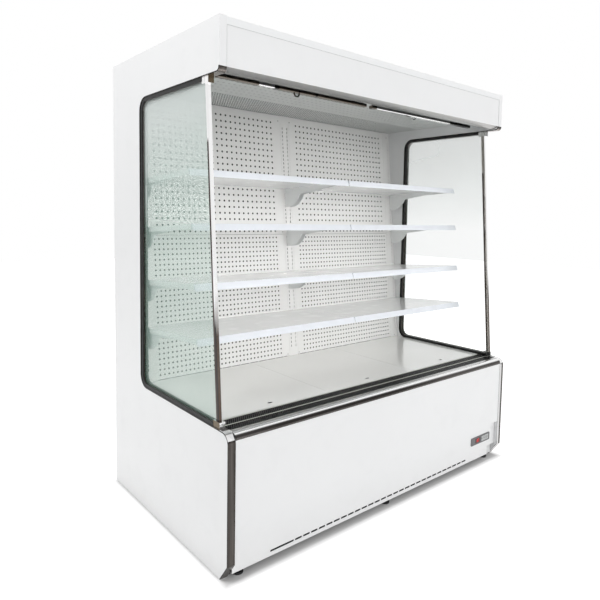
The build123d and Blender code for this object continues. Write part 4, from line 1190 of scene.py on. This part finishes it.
@dataclass(frozen=True)
class ReturnGrille:
    """Return-air grille: two honeycomb bands in a frame of three rails.

    The bands lie by sink below the rails' tops and above their feet.
    """

    front: float = -0.4870
    back: float = -0.3810
    half_width: float = 0.8677
    top: float = 0.5655
    depth: float = 0.0110
    margin: float = 0.0030
    divider: float = 0.0040
    cell: float = 0.0090
    web: float = 0.0014
    end_inset: float = 0.006
    side_inset: float = 0.003
    sink: float = 0.001
    ease: float = 0.0012

    def build(self) -> None:
        """Lay the two bands and frame them."""
        middle = (self.front + self.back) / 2
        rails = (
            (self.front, self.front + self.margin),
            (middle - self.divider / 2, middle + self.divider / 2),
            (self.back - self.margin, self.back),
        )
        reach = self.half_width - self.end_inset
        for name, before, after in zip(("front", "rear"), rails, rails[1:]):
            low, high = (-reach, before[1] + self.side_inset), (reach, after[0] - self.side_inset)
            cells = honeycomb(low, high, self.cell, self.web, self.top - self.sink)
            core = add_piece(f"{name}_honeycomb_band", *cells, Finish.MESH)
            thicken(core, self.depth - 2 * self.sink)
        bars = merged(swept(self.rail(*rail), -self.half_width, self.half_width) for rail in rails)
        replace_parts(add_piece("grille_frame", *bars, Finish.MESH_RAIL), "return_air_grille")

    def rail(self, low: float, high: float) -> np.ndarray:
        """Return a frame rail's profile: a flat bar with its top corners eased."""
        foot, shoulder = self.top - self.depth, self.top - self.ease
        top = [[high - self.ease, self.top], [low + self.ease, self.top]]
        return np.array([[low, foot], [high, foot], [high, shoulder], *top, [low, shoulder]])


@dataclass(frozen=True)
class Controller:
    """Thermostat in the kick panel: its lit reading and the marks on its keys.

    A digit is width and height, and the next one starts step widths further on. A segment
    ends by end_gap strokes short of its corners. Marks are measured in mark units.
    """

    reading: str = "35"
    digit: Pair = (0.0085, 0.0150)
    step: float = 1.7
    stroke: float = 0.0020
    end_gap: float = 0.65
    slant: float = 0.10
    display_x: float = 0.7030
    level: float = 0.1350
    proud: float = 0.0001
    relief: float = 0.0004
    mark_unit: float = 0.0026
    mark_relief: float = 0.00025
    mark_points: int = 12
    ring: float = 0.8
    star: Pair = (1.1, 0.45)

    def lit(self, number: str) -> list[Pair]:
        """Return the middles of the segments that show a number, in halves of the digit."""
        shown = "abcdef bc abged abgcd fgbc afgcd afgecd abc abcdefg abcdfg"
        middles = (0, 1), (1, 0.5), (1, -0.5), (0, -1), (-1, -0.5), (-1, 0.5), (0, 0)
        return [middles["abcdefg".index(name)] for name in shown.split()[int(number)]]

    def glyph(self, number: str, base: Point) -> list[Shape]:
        """Shape one number's lit segments as raised six-sided bars round base."""
        width, height = self.digit[0] / 2, self.digit[1] / 2
        half = self.stroke / 2
        shapes = []
        for middle_x, middle_z in self.lit(number):
            flat = middle_x == 0
            reach = (width if flat else height / 2) - self.stroke * self.end_gap
            bar = np.array([[-reach - half, 0], [-reach, -half], [reach, -half]])
            bar = np.concatenate([bar, -bar])
            if not flat:
                bar = np.stack([-bar[:, 1], bar[:, 0]], 1)
            bar = bar + np.array([middle_x * width, middle_z * height])
            bar[:, 0] += bar[:, 1] * self.slant
            shapes.append(raised(bar, base, self.relief))
        return shapes

    def build(self) -> None:
        """Light the reading with its point and mark the keys."""
        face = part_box("controller_display")[0].y + self.proud
        step = self.digit[0] * self.step
        start = self.display_x - step * (len(self.reading) - 1) / 2
        shapes = []
        for place, number in enumerate(self.reading):
            shapes += self.glyph(number, (start + place * step, face, self.level))
        square = np.array([[-0.5, -0.5], [0.5, -0.5], [0.5, 0.5], [-0.5, 0.5]])
        base = (self.display_x, face, self.level - self.digit[1] / 2)
        shapes.append(raised(square * self.stroke, base, self.relief))
        add_piece("temperature_reading", *merged(shapes), Finish.DIGIT)
        turn = np.arange(self.mark_points) * 2 * pi / self.mark_points
        circle = np.stack([np.cos(turn), np.sin(turn)], 1)
        spikes = np.resize(self.star, (self.mark_points, 1))
        self.key_mark("up_key", np.array([[-1.0, -0.8], [1.0, -0.8], [0.0, 0.9]]))
        self.key_mark("down_key", np.array([[-1.0, 0.8], [0.0, -0.9], [1.0, 0.8]]))
        self.key_mark("set_key", circle * self.ring)
        self.key_mark("defrost_key", circle * spikes)

    def key_mark(self, key: str, outline: np.ndarray) -> None:
        """Raise a small mark on a key's face.

        Args:
            key: the key's node and body.
            outline: its shape in mark units, about one to each side.
        """
        low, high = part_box(key)
        base = ((low.x + high.x) / 2, low.y + self.proud, (low.z + high.z) / 2)
        shape = raised(outline * self.mark_unit, base, self.mark_relief)
        add_piece(f"{key}_mark", *shape, Finish.BLACK, key)


@dataclass(frozen=True)
class NightBlinds:
    """The cloths of the two roller blinds behind the canopy."""

    columns: int = 80
    rows: int = 14
    gauge: float = 0.0006
    ripple: float = 0.0006
    ripples: float = 95.0

    def build(self) -> None:
        """Hang both cloths."""
        for side in Side:
            self.cloth(side)

    def cloth(self, side: Side) -> None:
        """Hang the strip of blind between its roller and its pull bar.

        Its face is a grid over width and height. It lies back by a small sine ripple along
        the width, which fades out at the roller and at the bar.

        Args:
            side: which blind.
        """
        name = f"blind_cloth_{side.word}"
        low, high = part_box(name)
        across = np.linspace(low.x, high.x, self.columns)
        grid_x, grid_t = np.meshgrid(across, np.linspace(0.0, 1.0, self.rows))
        grid_z = high.z + (low.z - high.z) * grid_t
        wave = np.sin(grid_x * self.ripples) * np.sin(grid_t * pi) * self.ripple
        middle = (low.y + high.y) / 2 - self.gauge / 2
        grid = np.stack([grid_x, middle + wave, grid_z], -1)[::-1]
        cloth = add_piece(
            f"{name}_fabric", *shell(grid, self.gauge), Finish.BLIND, None, smooth=True
        )
        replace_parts(cloth, name)
        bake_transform(cloth)


# --- Studio ---


@dataclass(frozen=True)
class Viewpoint:
    """Camera fitted to the product picture's vanishing lines.

    The focal length is a share of the picture's width, and the centre is where the view axis
    meets the picture, from its top left corner.
    """

    place: Point = (-1.9161, -2.1609, 1.3416)
    yaw: float = 40.8
    pitch: float = -4.4
    roll: float = 1.1
    focal_share: float = 555.3 / 600.0
    centre_share: Pair = (316.7 / 600.0, 259.2 / 600.0)
    sensor: float = 36.0

    def build(self) -> None:
        """Add the camera and make it the scene's own.

        The view axis comes from yaw and pitch, and the frame then turns about it by roll.
        """
        yaw, pitch, roll = radians(self.yaw), radians(self.pitch), radians(self.roll)
        forward = Vector((sin(yaw) * cos(pitch), cos(yaw) * cos(pitch), sin(pitch)))
        level = Vector((cos(yaw), -sin(yaw), 0.0))
        upright = level.cross(forward)
        right = level * cos(roll) + upright * sin(roll)
        up = upright * cos(roll) - level * sin(roll)
        camera = link("camera", bpy.data.cameras.new("camera"))
        camera.data.sensor_width = self.sensor
        camera.data.lens = self.sensor * self.focal_share
        camera.data.shift_x = 0.5 - self.centre_share[0]
        camera.data.shift_y = self.centre_share[1] - 0.5
        camera.data.clip_start = 0.01
        turn = Matrix((right, up, -forward)).transposed().to_4x4()
        camera.matrix_world = Matrix.Translation(self.place) @ turn
        bpy.context.scene.camera = camera


@dataclass(frozen=True)
class SoftLamp:
    """One large rectangular studio lamp."""

    name: str
    place: Point
    aim: Point
    size: Pair
    power: float
    spread: float = 180.0

    def build(self) -> None:
        """Hang the lamp and point it."""
        data = bpy.data.lights.new(self.name, "AREA")
        data.shape = "RECTANGLE"
        data.size, data.size_y = self.size
        data.energy = self.power
        data.spread = radians(self.spread)
        lamp = link(self.name, data)
        lamp.visible_camera = lamp.visible_glossy = False
        lamp.location = self.place
        aim = Vector(self.aim) - Vector(self.place)
        lamp.rotation_euler = aim.to_track_quat("-Z", "Y").to_euler()


@dataclass(frozen=True)
class CavityLamps:
    """Thin lamp strips, one to each gap between the shelf fronts, that fill the cavity.

    They stand behind the drawn blinds and face the wall, so no pose brings a piece into them.
    The blinds' top is given as Y and Z, and their rake as Y for each metre down.
    """

    levels: int = 4
    blind_top: Pair = (-0.290, 1.864)
    blind_rake: float = 0.1173
    behind_blind: float = 0.035
    wall: float = 0.30
    deck: float = 0.60
    canopy: float = 1.80
    size: Pair = (1.50, 0.05)
    spread: float = 88.0
    powers: Numbers = (0.64, 0.60, 0.60, 0.58, 0.24)

    def build(self) -> None:
        """Hang a strip half way up each gap, from the deck to the canopy."""
        fronts = sorted(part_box(f"shelf_level_{level}")[1].z for level in range(1, self.levels + 1))
        edges = [self.deck, *fronts, self.canopy]
        front, top = self.blind_top
        for number, (low, high, power) in enumerate(zip(edges, edges[1:], self.powers)):
            middle = (low + high) / 2
            stand = front - self.blind_rake * (top - middle) + self.behind_blind
            place, aim = (0.0, stand, middle), (0.0, self.wall, middle)
            SoftLamp(f"cavity_lamp_{number}", place, aim, self.size, power, self.spread).build()


@dataclass(frozen=True)
class Studio:
    """Pale floor, white surround and soft lamps."""

    ambient: float = 0.50
    floor_colour: float = 0.80
    floor_lift: float = 0.75
    floor_reach: float = 14.0
    floor_level: float = -0.0005
    footprint: Pair = (0.90, 0.52)
    lamps: tuple[SoftLamp, ...] = (
        SoftLamp("key_lamp", (-4.0, -0.2, 5.0), (-0.9, 0.2, 2.3), (2.4, 2.4), 135.0),
        SoftLamp("front_lamp", (1.2, -7.0, 3.0), (0.0, 0.0, 1.0), (6.0, 3.6), 204.0),
        SoftLamp("rear_lamp", (3.5, 3.5, 3.2), (0.0, 0.3, 1.0), (3.0, 3.0), 42.0),
    )

    def backdrop_rays(self, recipe: Recipe) -> Tap:
        """Return 1 for rays that show the backdrop: from the camera, in gloss or through glass."""
        path = recipe.node("ShaderNodeLightPath")
        names = ("Is Camera Ray", "Is Glossy Ray", "Is Transmission Ray")
        camera, gloss, through = (Tap(recipe, path.outputs[name]) for name in names)
        return camera.most(gloss).most(through)

    def surround(self) -> None:
        """Set the world: white where it is seen, dimmer where it lights."""
        world = bpy.data.worlds.new("surround")
        bpy.context.scene.world = world
        recipe = Recipe(world)
        strength = self.ambient + self.backdrop_rays(recipe) * (1.0 - self.ambient)
        sockets = {"Color": opaque(grey(1.0)), "Strength": strength}
        recipe.node("ShaderNodeOutputWorld", {0: recipe.tap("ShaderNodeBackground", sockets)})

    def floor(self) -> None:
        """Lay the plain floor, lifted towards white where it is seen, so only shadows show. The lift
        stops close round the footprint, which paints a darker contact shadow there.
        """
        recipe = Recipe(bpy.data.materials.new("studio_floor"))
        matt = recipe.tap("ShaderNodeBsdfDiffuse", {"Color": opaque(grey(self.floor_colour))})
        across, along, _ = recipe.axes()
        # Painted contact shadow: no lift close round the footprint, on top of the real shadow.
        outside = (abs(across) - self.footprint[0]).most(abs(along) - self.footprint[1])
        glow = self.backdrop_rays(recipe) * self.floor_lift * outside.above(0.012, 0.05)
        lift = recipe.tap("ShaderNodeEmission", {"Strength": glow})
        both = recipe.tap("ShaderNodeAddShader", {0: matt, 1: lift})
        recipe.node("ShaderNodeOutputMaterial", {0: both})
        signs = ((-1, -1), (1, -1), (1, 1), (-1, 1))
        corners = [(x * self.floor_reach, y * self.floor_reach, self.floor_level) for x, y in signs]
        mesh = bpy.data.meshes.new("studio_floor")
        mesh.from_pydata(corners, [], [(0, 1, 2, 3)])
        mesh.materials.append(recipe.owner)
        plane = link("studio_floor", mesh)

    def build(self) -> None:
        """Set up the surround, floor, lamps and colour view."""
        bpy.context.scene.view_settings.view_transform = "Standard"
        self.surround()
        self.floor()
        for lamp in (*self.lamps, CavityLamps()):
            lamp.build()


def main() -> None:
    """Build every sub-assembly in order, then the studio."""
    logging.basicConfig(level=logging.INFO, format="%(message)s")
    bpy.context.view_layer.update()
    Viewpoint().build()
    coat_nodes()
    parts = (RearScrews, DuctWall, CanopyCeiling, ReturnGrille, Controller, NightBlinds, Studio)
    for part in parts:
        part().build()
        log.info("built %s", part.__name__)


if __name__ == "__main__":
    main()
